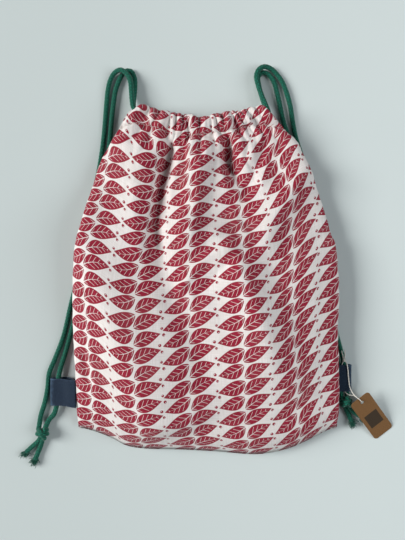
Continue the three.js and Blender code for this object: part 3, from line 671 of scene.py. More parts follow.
def panel_grid(point, axis_z, up):
    """Points of a panel's outer face and, above it, of its casing's outside, top and inside."""
    q = np.linspace(-1, 1, CLOTH_COLUMNS)
    place = mix(np.sin(q * np.pi / 2), q, 0.62)
    s, t = np.meshgrid(np.arcsin(place) * 2 / np.pi, np.linspace(0, 1, BODY_ROWS) ** 0.9)
    body = point(s, t)
    below = (1 - t) * BAG_HEIGHT
    depth = FRONT_GATHERS if up > 0 else BACK_GATHERS
    from_side = 1 - np.abs(place)[None, :]
    rim = smooth(0, 0.05, from_side)
    x, y, z = body[..., 0], body[..., 1], body[..., 2]
    seed = 5 if up > 0 else 8
    unevenness = UNEVENNESS * waves(x, y, seed, count=14, shortest=22, longest=70)
    pucker = PUCKER * waves(x * 0.4, y, seed=11, count=8, shortest=8, longest=16)
    pucker = pucker * np.exp(-from_side * BAG_WIDTH / 2 / PUCKER_REACH)
    lift = gathers(place[None, :], below) * depth * mix(0.35, 1, rim)
    lift = lift + unevenness * rim * smooth(0, 0.08, t)
    lift = lift + pucker * smooth(0, 0.05, t) * (1 - smooth(0.93, 1, t))
    lift = lift + PINCH * pinches(x, y) * rim * np.exp(-(below / 20) ** 2)
    if up < 0:
        lift = lift * smooth(2.5, 9, z)
    body = body + grid_normals(body, up) * lift[..., None]
    rows = []
    for share, height in resample(spline(CASING_SECTION, 6), CASING_ROWS + 1)[1:]:
        outward = gathers(place, np.full_like(place, -share * CASING_HEIGHT)) * depth
        drawn = outward * (0.62 + 0.5 * clamp01(height) if height > 0 else -0.35 * clamp01(-height))
        x, y, _ = casing_point(place, share, 0.0).T
        drawn = drawn + PINCH * pinches(x, y) * clamp01(height + 0.4)
        z = axis_z + up * (height * (CASING_THICKNESS / 2 - CLOTH / 2) + drawn)
        row = casing_point(place, share, np.maximum(z, FLOOR_GAP))
        row[:, 1] += smooth(0.6, 1, share) * (0.36 * outward - 0.8)
        rows.append(row)
    return np.concatenate([body, np.stack(rows)])


def calmed(values, reach):
    """The same values, each averaged with those of its neighbours up and down the cloth."""
    offsets = np.arange(-3 * reach, 3 * reach + 1)
    weights = np.exp(-(offsets / reach) ** 2 / 2)
    weights /= weights.sum()
    padded = np.pad(values, ((3 * reach, 3 * reach), (0, 0)), mode="reflect", reflect_type="odd")
    return sum(weight * padded[i:i + len(values)] for i, weight in enumerate(weights))


def flat_lengths(grid):
    """Each place's position on the flat cloth, measured along its row and its column."""
    sideways = np.linalg.norm(np.diff(grid, axis=1), axis=-1)
    u = np.concatenate([np.zeros((len(grid), 1)), np.cumsum(sideways, axis=1)], axis=1)
    u = calmed(u - u[:, u.shape[1] // 2][:, None], 6)
    upwards = np.linalg.norm(np.diff(grid, axis=0), axis=-1)
    upwards = calmed(upwards.T, 10).T
    v = np.concatenate([np.zeros((1, grid.shape[1])), np.cumsum(upwards, axis=0)], axis=0)
    return np.stack([u, v], axis=-1)


def add_panel(side, point, axis_z, up):
    """A panel with its casing and hems. Gives the line of its casing's stitches and the ways out there."""
    face = panel_grid(point, axis_z, up)
    normals = grid_normals(face, up)
    grid = turned_in(face, normals)
    faces = grid_faces(*grid.shape[:2])
    if up < 0:
        faces = [face[::-1] for face in faces]
    piece = make_mesh(
        f"visual_{side}_panel", grid.reshape(-1, 3), faces, flat_lengths(grid).reshape(-1, 2))
    wall = piece.modifiers.new("wall", "SOLIDIFY")
    wall.thickness = CLOTH * MM
    wall.offset = -1
    wall.use_even_offset = False
    wall.material_offset = 1
    wall.material_offset_rim = 0
    finish_piece(piece, f"{side}_panel", "printed_cotton", COTTON, COTTON_BACK)
    return face[BODY_ROWS - 1], normals[BODY_ROWS - 1]


# Shader nodes

class Value:
    """The output of a node, which adds, multiplies and so on as a number does."""

    def __init__(self, build, socket):
        self.build, self.socket = build, socket

    def output(self, name):
        """Another output of the same node."""
        return Value(self.build, self.socket.node.outputs[name])

    def __add__(self, other):
        return self.build.math("ADD", self, other)

    def __sub__(self, other):
        return self.build.math("SUBTRACT", self, other)

    def __rsub__(self, other):
        return self.build.math("SUBTRACT", other, self)

    def __mul__(self, other):
        return self.build.math("MULTIPLY", self, other)

    def __truediv__(self, other):
        return self.build.math("DIVIDE", self, other)

    def __abs__(self):
        return self.build.math("ABSOLUTE", self)


class Nodes:
    """Short ways to add and join nodes in a tree."""

    def __init__(self, tree):
        self.tree = tree

    def put(self, socket, value):
        if isinstance(value, Value):
            self.tree.links.new(value.socket, socket)
        else:
            socket.default_value = value

    def node(self, kind, inputs=None, output=0, **settings):
        """Adds a node and gives one of its outputs."""
        node = self.tree.nodes.new(kind)
        for key, value in settings.items():
            setattr(node, key, value)
        for key, value in (inputs or {}).items():
            self.put(node.inputs[key], value)
        return Value(self, node.outputs[output])

    def math(self, operation, *values, clamp=False):
        inputs = dict(enumerate(values))
        return self.node("ShaderNodeMath", inputs, operation=operation, use_clamp=clamp)

    def sine(self, value, period):
        return self.math("SINE", value * (2 * math.pi / period))

    def step(self, value, low, high):
        """0 below low and 1 above high, or the other way round when low is the greater."""
        return self.node("ShaderNodeMapRange", {
            "Value": value, "From Min": min(low, high), "From Max": max(low, high),
            "To Min": float(low > high), "To Max": float(low <= high),
        }, "Result", interpolation_type="SMOOTHSTEP", clamp=True)

    def over(self, a, b):
        """1 and 0 by turns over a board of squares, as one thread lies over another."""
        return abs(self.math("MODULO", self.math("FLOOR", a) + self.math("FLOOR", b), 2.0))

    def mix(self, share, a, b):
        """From one colour to another, each a value or 0 to 255 on screen."""
        a, b = (colour if isinstance(colour, Value) else linear(colour) for colour in (a, b))
        return self.node("ShaderNodeMix", {0: share, 6: a, 7: b}, 2, data_type="RGBA")

    def noise(self, vector, scale, detail=2.0, roughness=0.5):
        return self.node("ShaderNodeTexNoise", {
            "Vector": vector, "Scale": scale, "Detail": detail, "Roughness": roughness}, "Fac")

    def stretched(self, u, v, u_scale, v_scale):
        """Flat coordinates that draw a texture out one way."""
        return self.node("ShaderNodeCombineXYZ", {"X": u * u_scale, "Y": v * v_scale})

    def group(self, tree, inputs):
        return self.node("ShaderNodeGroup", inputs, node_tree=tree)


def new_group(name, inputs, outputs=("Mask",)):
    """A group of nodes that turns numbers into numbers: its tree, builder, inputs and output sockets."""
    tree = bpy.data.node_groups.new(name, "ShaderNodeTree")
    for way, names in (("INPUT", inputs), ("OUTPUT", outputs)):
        for socket_name in names:
            tree.interface.new_socket(socket_name, in_out=way, socket_type="NodeSocketFloat")
    build = Nodes(tree)
    source, sink = tree.nodes.new("NodeGroupInput"), tree.nodes.new("NodeGroupOutput")
    return tree, build, [Value(build, source.outputs[name]) for name in inputs], sink.inputs


def linear(colour):
    """A colour given as 0 to 255 on screen, as the linear light that shaders use."""
    shares = [value / 255 for value in colour]
    return (*(v / 12.92 if v <= 0.04045 else ((v + 0.055) / 1.055) ** 2.4 for v in shares), 1.0)


def new_material(name, roughness, sheen=0.0, sheen_roughness=0.5):
    material = bpy.data.materials.new(name)
    material.use_nodes = True
    base = material.node_tree.nodes["Principled BSDF"]
    for key, value in (
        ("Roughness", roughness), ("Specular IOR Level", 0.3),
        ("Sheen Weight", sheen), ("Sheen Roughness", sheen_roughness),
    ):
        base.inputs[key].default_value = value
    return material, Nodes(material.node_tree), base


def cover(s, base, colour, height, strength, distance):
    """Gives a material its colour and its fine relief, this deep in millimetres."""
    s.put(base.inputs["Base Color"], colour)
    relief = s.node("ShaderNodeBump", {
        "Height": height, "Strength": strength, "Distance": distance * MM}, "Normal")
    s.put(base.inputs["Normal"], relief)


# The print: a motif of leaves and berries that repeats across and up the flat cloth, in millimetres, and
# the same motif upside down half way between
REPEAT_WIDTH = 60.0
REPEAT_HEIGHT = 36.0
HALF_TURN = (30.0, 24.0)
LEAVES = [
    # foot x and y, angle in degrees, length, width
    (-16.0, -13.0, 26, 34, 15.6),
    (-15.0, 5.0, 26, 32, 15.0),
]
BERRIES = [(13.0, 6.4, 1.7), (14.6, -11.4, 1.5)]
LEAF_ARCH = 0.082
VEIN_PITCH = 6.2


def from_place(s, u, v, x, y):
    """How far a place of the cloth is from the nearest repeat of another."""
    return (
        s.math("WRAP", u - x, REPEAT_WIDTH / 2, -REPEAT_WIDTH / 2),
        s.math("WRAP", v - y, REPEAT_HEIGHT / 2, -REPEAT_HEIGHT / 2),
    )


def leaf_group():
    """A leaf with pale veins, its middle at X, Y and its tip towards an angle."""
    tree, s, inputs, sink = new_group("leaf", ("U", "V", "X", "Y", "Angle", "Length", "Width"))
    u, v, x, y, angle, length, width = inputs
    cos, sin = s.math("COSINE", angle), s.math("SINE", angle)
    dx, dy = from_place(s, u, v, x, y)
    down = dx * cos + dy * sin + length * 0.5
    share = s.math("DIVIDE", down, length, clamp=True)
    side = abs(dy * cos - dx * sin - s.sine(share, 2) * (length * LEAF_ARCH))
    half = s.sine(s.math("POWER", share, 0.8), 2) * width * 0.5
    ends = s.step(down, 0.0, 0.3) * s.step(down - length, 0.0, -0.3)
    body = s.step(side - half, 0.2, -0.2) * ends
    rib = s.step(side - (0.9 - share) * 0.5, 0.12, -0.12)
    stripe = s.sine(down - side * 1.1, VEIN_PITCH)
    vein = s.step(stripe, 0.93, 0.99) * s.step(half - side, 1.2, 1.8)
    s.put(sink[0], body * (1.0 - s.math("MAXIMUM", rib, vein)))
    return tree


def berry_group():
    """A small disc with a pale fleck."""
    tree, s, (u, v, x, y, radius), sink = new_group("berry", ("U", "V", "X", "Y", "Radius"))
    dx, dy = from_place(s, u, v, x, y)

    def distance(a, b):
        return s.math("SQRT", a * a + b * b)
    disc = s.step(distance(dx, dy) - radius, 0.18, -0.18)
    s.put(sink[0], disc * s.step(distance(dx + 0.55, dy - 0.55), 0.35, 0.65))
    return tree


def sprig_group():
    """The whole printed pattern over flat cloth: a mask of where the ink is."""
    leaf, berry = leaf_group(), berry_group()
    tree, s, (flat_u, flat_v), sink = new_group("sprigs", ("U", "V"))
    total = 0.0
    for u, v in ((flat_u, flat_v), (HALF_TURN[0] - flat_u, HALF_TURN[1] - flat_v)):
        for x, y, angle, length, width in LEAVES:
            way = math.radians(angle)
            inputs = {
                "U": u, "V": v, "X": x + math.cos(way) * length / 2, "Y": y + math.sin(way) * length / 2,
                "Angle": way, "Length": length, "Width": width,
            }
            total = s.math("MAXIMUM", total, s.group(leaf, inputs))
        for x, y, radius in BERRIES:
            inputs = {"U": u, "V": v, "X": x, "Y": y, "Radius": radius}
            total = s.math("MAXIMUM", total, s.group(berry, inputs))
    s.put(sink[0], total)
    return tree


def weave_group():
    """Plain weave: the height of the threads, and how much each thread's thickness wanders."""
    tree, s, (u, v, pitch), sink = new_group("weave", ("U", "V", "Pitch"), ("Height", "Slub"))
    a, b = u / pitch, v / pitch
    over = s.over(a, b)
    s.put(sink[0], abs(s.sine(a, 2)) * over + abs(s.sine(b, 2)) * (1.0 - over))
    warp, weft = s.stretched(u, v, 1.6, 0.05), s.stretched(u, v, 0.05, 1.6)
    s.put(sink[1], s.noise(warp, 1.0, 1.0) + s.noise(weft, 1.0, 1.0) - 1.0)
    return tree


def uv_axes(s):
    """The piece's own flat coordinates, in millimetres."""
    flat = s.node("ShaderNodeUVMap", uv_map="UVMap")
    split = s.node("ShaderNodeSeparateXYZ", {"Vector": flat})
    return flat, split, split.output("Y")


WEAVE = weave_group()
WEAVE_PITCH = 0.62
INK = (134, 16, 40), (163, 30, 58)


def cotton_material(name, strength):
    """Plain-woven cotton, its print this strong: full on the face and faint on the back."""
    material, s, base = new_material(name, roughness=0.86, sheen=0.12, sheen_roughness=0.45)
    flat, u, v = uv_axes(s)
    wander = (s.noise(flat, 0.9) - 0.5) * 0.5
    ink = s.group(sprig_group(), {"U": u + wander, "V": v})
    height = s.group(WEAVE, {"U": u, "V": v, "Pitch": WEAVE_PITCH})
    slub = height.output("Slub")
    ecru = s.mix(s.step(slub, -0.25, 0.3), (224, 217, 213), (238, 233, 231))
    fleck = s.step(s.noise(flat, 1.7, 3.0, 0.7), 0.71, 0.76)
    ecru = s.mix(fleck * 0.35, ecru, (176, 158, 138))
    crimson = s.mix(s.step(slub, -0.3, 0.35), *INK)
    missed = s.step(s.noise(flat, 2.6, 2.0, 0.8), 0.72, 0.8)
    colour = s.mix(ink * (strength - missed * (0.3 * strength)), ecru, crimson)
    cloud = s.step(s.noise(flat, 0.02), 0.45, 0.75)
    colour = s.mix(cloud * 0.05, colour, (200, 188, 176))
    cover(s, base, colour, height + slub * 1.2, strength=0.55, distance=0.09)
    return material


def cord_material():
    material, s, base = new_material("green braid", roughness=0.72, sheen=0.25, sheen_roughness=0.4)
    flat, u, v = uv_axes(s)
    around, climb = u / (math.pi * CORD_DIAMETER / BRAID_CARRIERS), v / BRAID_PITCH
    a, b = around + climb, around - climb
    over = s.over(a, b)
    gap = s.math("MINIMUM", abs(s.sine(a, 2)), abs(s.sine(b, 2)))
    yarns = s.sine(b, 2 / BRAID_YARNS) * over + s.sine(a, 2 / BRAID_YARNS) * (1.0 - over)
    tone = s.mix(s.step(yarns, -0.6, 0.9), (4, 92, 74), (14, 136, 108))
    tone = s.mix(over * 0.45, tone, (2, 62, 50))
    # Painted shade: the gaps between the strands are darkened towards near-black green, as shade deep in
    # the braid's recesses.
    tone = s.mix(s.step(gap, 0.58, 0.1) * 0.9, tone, (2, 36, 29))
    tone = s.mix(s.step(s.noise(flat, 0.5), 0.5, 0.75) * 0.35, tone, (30, 150, 122))
    cover(s, base, tone, yarns * 0.25 + s.step(gap, 0.0, 0.4), strength=0.7, distance=0.25)
    return material


def tape_material():
    material, s, base = new_material("navy twill", roughness=0.88, sheen=0.05, sheen_roughness=0.45)
    flat, u, v = uv_axes(s)
    diagonal = s.sine(u + v * 0.9, 1.5)
    worn = s.node("ShaderNodeAttribute", output="Fac", attribute_name="worn")
    light = worn * 0.75 + (s.noise(flat, 0.28, 4.0, 0.65) - 0.5) * 0.9
    tone = s.mix(s.step(diagonal, -0.5, 0.8), (10, 20, 34), (36, 54, 76))
    speckle = s.step(s.noise(flat, 0.85, 3.0, 0.75), 0.5, 0.68)
    tone = s.mix(speckle * 0.5, tone, (58, 82, 104))
    tone = s.mix(s.step(light, 0.2, 0.9) * 0.6, tone, (84, 112, 140))
    cover(s, base, tone, diagonal + s.sine(u, 0.55) * 0.4, strength=0.6, distance=0.16)
    return material


def thread_material():
    material, s, base = new_material("white thread", roughness=0.8, sheen=0.2, sheen_roughness=0.4)
    _, u, v = uv_axes(s)
    ply = s.sine(u + v, 0.7)
    tone = s.mix(s.step(ply, -0.7, 0.7), (206, 201, 190), (240, 237, 230))
    cover(s, base, tone, ply, strength=0.4, distance=0.08)
    return material


# The dark block on the card, from the middle out and from the card's top down
BLOCK_HALF_WIDTH = 8.8
BLOCK_TOP = 24.9
BLOCK_FOOT = 44.2
BLOCK_BLUR = 0.3


def card_material():
    material, s, base = new_material("kraft card", roughness=0.78)
    flat, u, v = uv_axes(s)
    fibres = s.noise(s.stretched(u, v, 0.5, 1.7), 1.3, 5.0, 0.7)
    specks = s.step(s.noise(flat, 2.2, 3.0, 0.6), 0.66, 0.74)
    tone = s.mix(s.step(fibres, 0.3, 0.7), (106, 74, 42), (140, 102, 62))
    tone = s.mix(specks * 0.5, tone, (76, 52, 30))
    block = s.step(abs(u), BLOCK_HALF_WIDTH, BLOCK_HALF_WIDTH - BLOCK_BLUR)
    block = block * s.step(v, BLOCK_TOP, BLOCK_TOP + BLOCK_BLUR)
    block = block * s.step(v, BLOCK_FOOT, BLOCK_FOOT - BLOCK_BLUR)
    tone = s.mix(block * s.step(fibres, 0.18, 0.36) * 0.9, tone, (50, 42, 32))
    cover(s, base, tone, fibres, strength=0.35, distance=0.12)
    return material


def wall_material(name, colour):
    """Matt paint, with painted shade that makes it a little darker on the left and painted light that
    makes it lighter on the right.
    """
    material, s, base = new_material(name, roughness=0.9)
    place = s.node("ShaderNodeTexCoord", output="Object")
    x = s.node("ShaderNodeSeparateXYZ", {"Vector": place})

    def shade(change):
        return [value + change for value in colour]
    # Painted shade and light: the floor's colour runs from darker on the left to lighter on the right, as
    # light would fall on it.
    tone = s.mix(s.step(x, -0.3, 0.3), shade(-7), shade(7))
    cloud = s.noise(place, 9.0, 4.0, 0.6)
    s.put(base.inputs["Base Color"], s.mix(cloud * 0.12, tone, shade(-12)))
    return material


COTTON = cotton_material("printed cotton", 1.0)
COTTON_BACK = cotton_material("back of the cotton", 0.28)
BRAID = cord_material()
TWILL = tape_material()
THREAD = thread_material()
KRAFT = card_material()
WALL_PAINT = wall_material("pale wall", (207, 217, 216))


# Repeats: one small shape on many points

def repeat_tree():
    """Puts a shape on every point of a mesh, turned and sized as the points' own values say."""
    tree = bpy.data.node_groups.new("repeat on points", "GeometryNodeTree")
    for name, kind in (("Geometry", "Geometry"), ("Shape", "Object"), ("Material", "Material")):
        tree.interface.new_socket(name, in_out="INPUT", socket_type="NodeSocket" + kind)
    tree.interface.new_socket("Geometry", in_out="OUTPUT", socket_type="NodeSocketGeometry")
    build = Nodes(tree)
    source = build.node("NodeGroupInput")
    turn, size = (
        build.node("GeometryNodeInputNamedAttribute", {"Name": name}, "Attribute",
                   data_type="FLOAT_VECTOR")
        for name in ("turn", "size")
    )
    shape = build.node("GeometryNodeObjectInfo", {"Object": source.output("Shape")}, "Geometry")
    copies = build.node("GeometryNodeInstanceOnPoints", {
        "Points": source, "Instance": shape, "Rotation": turn, "Scale": size})
    real = build.node("GeometryNodeRealizeInstances", {"Geometry": copies})
    painted = build.node(
        "GeometryNodeSetMaterial", {"Geometry": real, "Material": source.output("Material")})
    build.put(tree.nodes.new("NodeGroupOutput").inputs["Geometry"], painted)
    return tree


REPEAT = repeat_tree()


def repeated(name, shape, points, directions, sizes, material, spin=None):
    """The shape once at each point, its own X along the direction given there. The shape is used up."""
    mesh = bpy.data.meshes.new(name)
    mesh.from_pydata((np.asarray(points) * MM).tolist(), [], [])
    turns = []
    for index, direction in enumerate(directions):
        turn = Vector(direction).to_track_quat("X", "Z")
        if spin is not None:
            turn = turn @ Matrix.Rotation(spin[index], 3, "X").to_quaternion()
        turns.append(tuple(turn.to_euler()))
    for attribute_name, values in (("turn", turns), ("size", sizes)):
        attribute = mesh.attributes.new(attribute_name, "FLOAT_VECTOR", "POINT")
        attribute.data.foreach_set("vector", np.asarray(values, np.float32).ravel())
    carrier = placed(name + "_points", mesh)
    modifier = carrier.modifiers.new("repeat", "NODES")
    modifier.node_group = REPEAT
    given = {"Shape": shape, "Material": material}
    for item in REPEAT.interface.items_tree:
        if item.in_out == "INPUT" and item.name in given:
            modifier[item.identifier] = given[item.name]
    bpy.context.view_layer.update()
    depsgraph = bpy.context.evaluated_depsgraph_get()
    made = bpy.data.meshes.new_from_object(carrier.evaluated_get(depsgraph), depsgraph=depsgraph)
    made.name = name
    made.shade_smooth()
    bpy.data.objects.remove(carrier)
    bpy.data.objects.remove(shape)
    piece = placed(name, made)
    flat_uv(piece)
    return piece


def flat_uv(piece):
    """A UV map that puts a small repeated piece on one spot of its material's pattern."""
    layer = piece.data.uv_layers.get("UVMap") or piece.data.uv_layers.new(name="UVMap")
    layer.data.foreach_set("uv", np.full(len(piece.data.loops) * 2, 1.4, np.float32))


def capsule(name, length, thickness, arch, sides=6, rings=7, flat=1.0):
    """A small rounded shape along X, arched upwards in its middle: a stitch or a fibre."""
    x = np.linspace(-1, 1, rings)
    radius = np.sqrt(np.clip(1 - x ** 4, 0.04, 1)) * thickness / 2
    around = np.linspace(0, 2 * np.pi, sides, endpoint=False)
    vertices = np.stack(np.broadcast_arrays(
        x[:, None] * length / 2,
        radius[:, None] * np.cos(around),
        arch * (1 - x[:, None] ** 2) + radius[:, None] * np.sin(around) * flat,
    ), axis=-1).reshape(-1, 3)
    faces = [face[::-1] for face in grid_faces(rings, sides, wrap=True)]
    faces.append(tuple(range(sides)))
    faces.append(tuple(range(len(vertices) - sides, len(vertices)))[::-1])
    piece = make_mesh(name, vertices, faces)
    recalculate(piece)
    return piece


def joined(name, pieces):
    """One piece from several, each with its own UV map kept."""
    bpy.ops.object.select_all(action="DESELECT")
    for piece in pieces:
        piece.select_set(True)
    bpy.context.view_layer.objects.active = pieces[0]
    bpy.ops.object.join()
    piece = pieces[0]
    piece.name = name
    piece.data.name = name
    piece.data.materials.clear()
    return piece


# Knots and frayed ends

def unit(vector):
    vector = np.array(vector, float)
    return vector / np.linalg.norm(vector)


def coil(centre, axis, start, turns, radius, climb, squash=1.0):
    """Points of a cord wound round an axis through the centre."""
    axis = unit(axis)
    side = unit(np.cross(axis, (0, 0, 1)))
    up = np.cross(side, axis)
    share = np.linspace(0, 1, max(6, int(abs(turns) * 10)) + 1)[:, None]
    angle = start + turns * 2 * np.pi * share
    around = side * np.cos(angle) + up * np.sin(angle) * squash
    return np.array(centre) + around * radius + axis * (climb * (share - 0.5))


FRAY_FIBRE_COUNT = 90
FRAY_SPREAD = 0.42


def fray(name, end, direction, seed):
    """Loose fibres that burst out of a cut end."""
    random = np.random.default_rng(seed)
    fibre = capsule(name + "_fibre", length=1.0, thickness=0.055, arch=0.1, sides=4, rings=5)
    axis = unit(direction)
    points, directions, sizes = [], [], []
    for _ in range(FRAY_FIBRE_COUNT):
        lean = random.normal(0, FRAY_SPREAD, 3)
        lean[2] *= 0.6
        way = unit(axis + lean)
        length = random.uniform(4, 8.5)
        root = np.array(end) + random.normal(0, 1.5, 3) * (1, 1, 0.9)
        middle = root + way * length / 2
        middle[2] = max(middle[2], 0.5 + abs(way[2]) * length / 2)
        points.append(middle)
        directions.append(way)
        thickness = random.uniform(7, 14)
        sizes.append((length, thickness, thickness))
    spin = random.uniform(0, FULL_TURN, len(points))
    return repeated(name, fibre, points, directions, sizes, BRAID, spin)


# A cord drawn tight in its knot, and the thread that binds a tail's end
KNOT_CORD = 5.1
BAND_THICKNESS = 1.5


def add_knot(node, centre, entries, tails, way, seed):
    """Both strands' ends tied together: wraps round the bundle, and two frayed tails."""
    name = "visual_" + node
    way = unit(way)
    centre = np.array(centre)
    pieces = []

    def rope(suffix, route, diameter=KNOT_CORD):
        pieces.append(tube_mesh(name + suffix, route, diameter, braid_relief, sides=20, step=0.8)[0])
    side = np.array([-way[1], way[0], 0])
    tilted = way * 0.86 + side * 0.42 + np.array([0, 0, 0.12])
    counter = way * 0.8 - side * 0.55 + np.array([0, 0, 0.3])
    rope("_wrap", coil(
        centre - way * 0.6, tilted, start=2.2, turns=1.45, radius=5.3, climb=6.2, squash=0.92))
    rope("_cross", coil(
        centre + way * 1.2, counter, start=-0.6, turns=0.95, radius=5.5, climb=3.4, squash=0.9))
    for index, (entry, tail) in enumerate(zip(entries, tails)):
        into, before = np.array(entry[-1]), np.array(entry[-2])
        carried = into + unit(into - before) * 2.5
        inside = mix(centre, np.array(tail[0]), 0.5)
        rope(f"_through{index}", [into, carried, inside, *tail], CORD_DIAMETER)
        end = np.array(tail[-1], float)
        direction = end - tail[-2]
        pieces.append(fray(f"{name}_fray{index}", end, direction, seed + index))
        band = coil(
            end - unit(direction) * 1.2, direction, start=0, turns=0.98, radius=2.1, climb=0.4)
        rope(f"_band{index}", band, BAND_THICKNESS)
    finish_piece(joined(name, pieces), node, "green_cord", BRAID)


# Stitches

STITCH_PITCH = 3.1
STITCH_LENGTH = 2.5
STITCH_THICKNESS = 0.42
STITCH_LIFT = 0.12


def stitch_row(name, points, outward):
    """A row of machine stitches along a line of points, lying on the cloth."""
    stitch = capsule(name + "_one", STITCH_LENGTH, STITCH_THICKNESS, arch=0.12, flat=0.6)
    count = int(lengths_along(points)[-1] / STITCH_PITCH)
    line_and_way = resample(np.concatenate([points, outward], axis=1), 2 * count + 1)
    places, normals = line_and_way[:, :3], line_and_way[:, 3:]
    normals = normals / np.linalg.norm(normals, axis=1)[:, None]
    middles = places[1::2] + normals[1::2] * STITCH_LIFT
    ways = places[2::2] - places[:-1:2]
    sizes = np.ones_like(ways)
    sizes[:, 0] = np.linalg.norm(ways, axis=1) / STITCH_PITCH
    finish_piece(repeated(name, stitch, middles, ways, sizes, THREAD), None, "white_thread")


# Tape tabs

TAPE_WIDTH = 31.0
TAPE_HALF = 0.72
TAPE_FLOOR_GAP = 0.25
# How far out from the seam the rows of stitches lie
TAPE_STITCH_ROWS = (3.4, 5.4)


def add_tab(side, section, top, seed):
    """A folded tape from its section in X and Z, its edges a little thicker and its outer fold worn."""
    path = resample(spline([(x, 0, z) for x, z in section], 12), 64)
    tangents, _, _ = frames_along(path)
    normals = np.stack([-tangents[:, 2], np.zeros(len(path)), tangents[:, 0]], axis=1)
    place, share = np.meshgrid(lengths_along(path), np.linspace(0, 1, 34), indexing="ij")
    edge = np.minimum(share, 1 - share) * TAPE_WIDTH
    phases = np.random.default_rng(seed).uniform(0, FULL_TURN, 3)
    thick = TAPE_HALF + 0.16 * np.exp(-((edge - 1.0) / 0.7) ** 2) - 0.35 * np.exp(-edge / 0.35)
    ripple = 0.22 * np.sin(place / 5 + share * 5 + phases[1]) * (1 - np.abs(2 * share - 1) ** 4)
    sway = 0.35 * np.sin(place / 9 + phases[0]) * (share - 0.5) + 0.25 * np.sin(place / 6 + phases[2])
    shells = []
    for sign in (1, -1):
        shell = path[:, None] + normals[:, None] * (sign * thick + ripple)[..., None]
        shell[..., 1] = top - share * TAPE_WIDTH + sway
        shell[..., 2] = np.maximum(shell[..., 2], TAPE_FLOOR_GAP)
        shells.append(shell)
    rows, columns = place.shape
    faces = grid_faces(rows, columns)
    faces += [face[::-1] for face in grid_faces(rows, columns, offset=place.size)]
    index = np.arange(place.size).reshape(place.shape)
    rim = np.concatenate([index[0], index[1:, -1], index[-1, -2::-1], index[-2:0:-1, 0]]).tolist()
    for a, b in pairs_round(rim):
        faces.append((a, b, b + place.size, a + place.size))
    flat = np.stack([place, share * TAPE_WIDTH], axis=-1).reshape(-1, 2)
    name = f"visual_{side}_tab"
    piece = make_mesh(name, np.concatenate(shells).reshape(-1, 3), faces, np.concatenate([flat, flat]))
    recalculate(piece)
    fold = max((x for x, _ in section), key=lambda x: abs(x - section[0][0]))
    at_fold = np.exp(-((path[:, 0] - fold) / (abs(fold - section[0][0]) * 0.16)) ** 2)
    level = np.clip(at_fold[:, None] * 0.7 + np.exp(-edge / 1.3) * 0.75, 0, 1).ravel()
    worn = piece.data.attributes.new("worn", "FLOAT", "POINT")
    worn.data.foreach_set("value", np.concatenate([level, level]).astype(np.float32))
    finish_piece(piece, f"{side}_tab", "navy_tape", TWILL)
    for index, back_off in enumerate(TAPE_STITCH_ROWS):
        row = int(np.searchsorted(place[:, 0], back_off))
        outward = np.repeat(normals[row:row + 1], columns - 4, axis=0)
        stitch_row(f"{name}_stitches_{index}", shells[0][row, 2:-2], outward)


LEFT_TAB_X = -BAG_WIDTH / 2 - 2.3
LEFT_FOLD = LEFT_TAB_X - 31
LEFT_TAB_TOP = -113
LEFT_TAB_SECTION = [
    (LEFT_TAB_X + 1.8, 20.6), (LEFT_TAB_X, 19.9), (LEFT_TAB_X - 6, 17.6), (LEFT_TAB_X - 14, 12.8),
    (LEFT_FOLD + 9, 10.6), (LEFT_FOLD + 3.4, 9.6), (LEFT_FOLD + 0.8, 6), (LEFT_FOLD + 3.4, 1.9),
    (LEFT_FOLD + 10, 1.15), (LEFT_TAB_X - 13, 1.6), (LEFT_TAB_X - 7, 6), (LEFT_TAB_X - 3, 12),
    (LEFT_TAB_X, 16.6), (LEFT_TAB_X + 1.2, 17.6),
]
RIGHT_TAB_X = BAG_WIDTH / 2 - RIGHT_ROLL + 1.2
RIGHT_FOLD = RIGHT_TAB_X + 23.6
RIGHT_TAB_TOP = -97
RIGHT_TAB_SECTION = [
    (RIGHT_TAB_X - 2, 11.4), (RIGHT_TAB_X, 11.2), (RIGHT_TAB_X + 6, 10.9), (RIGHT_TAB_X + 14, 10.7),
    (RIGHT_FOLD - 4, 9.9), (RIGHT_FOLD - 0.8, 6), (RIGHT_FOLD - 3.6, 1.8), (RIGHT_FOLD - 11, 1.15),
    (RIGHT_TAB_X + 4.4, 1.5), (RIGHT_TAB_X + 1.2, 3.8), (RIGHT_TAB_X + 0.2, 7.4),
]


# Hang tag and its thread

TAG_TOP = np.array([170.8, -133.4, 18.4])
TAG_FOOT = np.array([204.9, -177.6, 0.35])
TAG_WIDTH = 26.0
TAG_LENGTH = 60.0
TAG_THICKNESS = 0.8
TAG_CORNER = 4.0
TAG_HOLE = 2.0
TAG_HOLE_INSET = 7.0
TAG_BLUNTING = 0.18


def tag_rim(reach):
    """The rounded outline of the card, drawn in by reach."""
    right, high = TAG_WIDTH / 2 - TAG_CORNER, TAG_LENGTH - TAG_CORNER
    corner = TAG_CORNER - reach
    return [
        (x + corner * math.cos(angle), y + corner * math.sin(angle))
        for first, x, y in (
            (-90, right, TAG_CORNER), (0, right, high), (90, -right, high), (180, -right, TAG_CORNER))
        for angle in np.radians(first + np.linspace(0, 90, 9))
    ]


def tag_hole(reach):
    """The outline of the hole, widened by reach."""
    radius = TAG_HOLE + reach
    return [(radius * math.cos(angle), TAG_HOLE_INSET + radius * math.sin(angle))
            for angle in np.linspace(0, 2 * math.pi, 24, endpoint=False)]


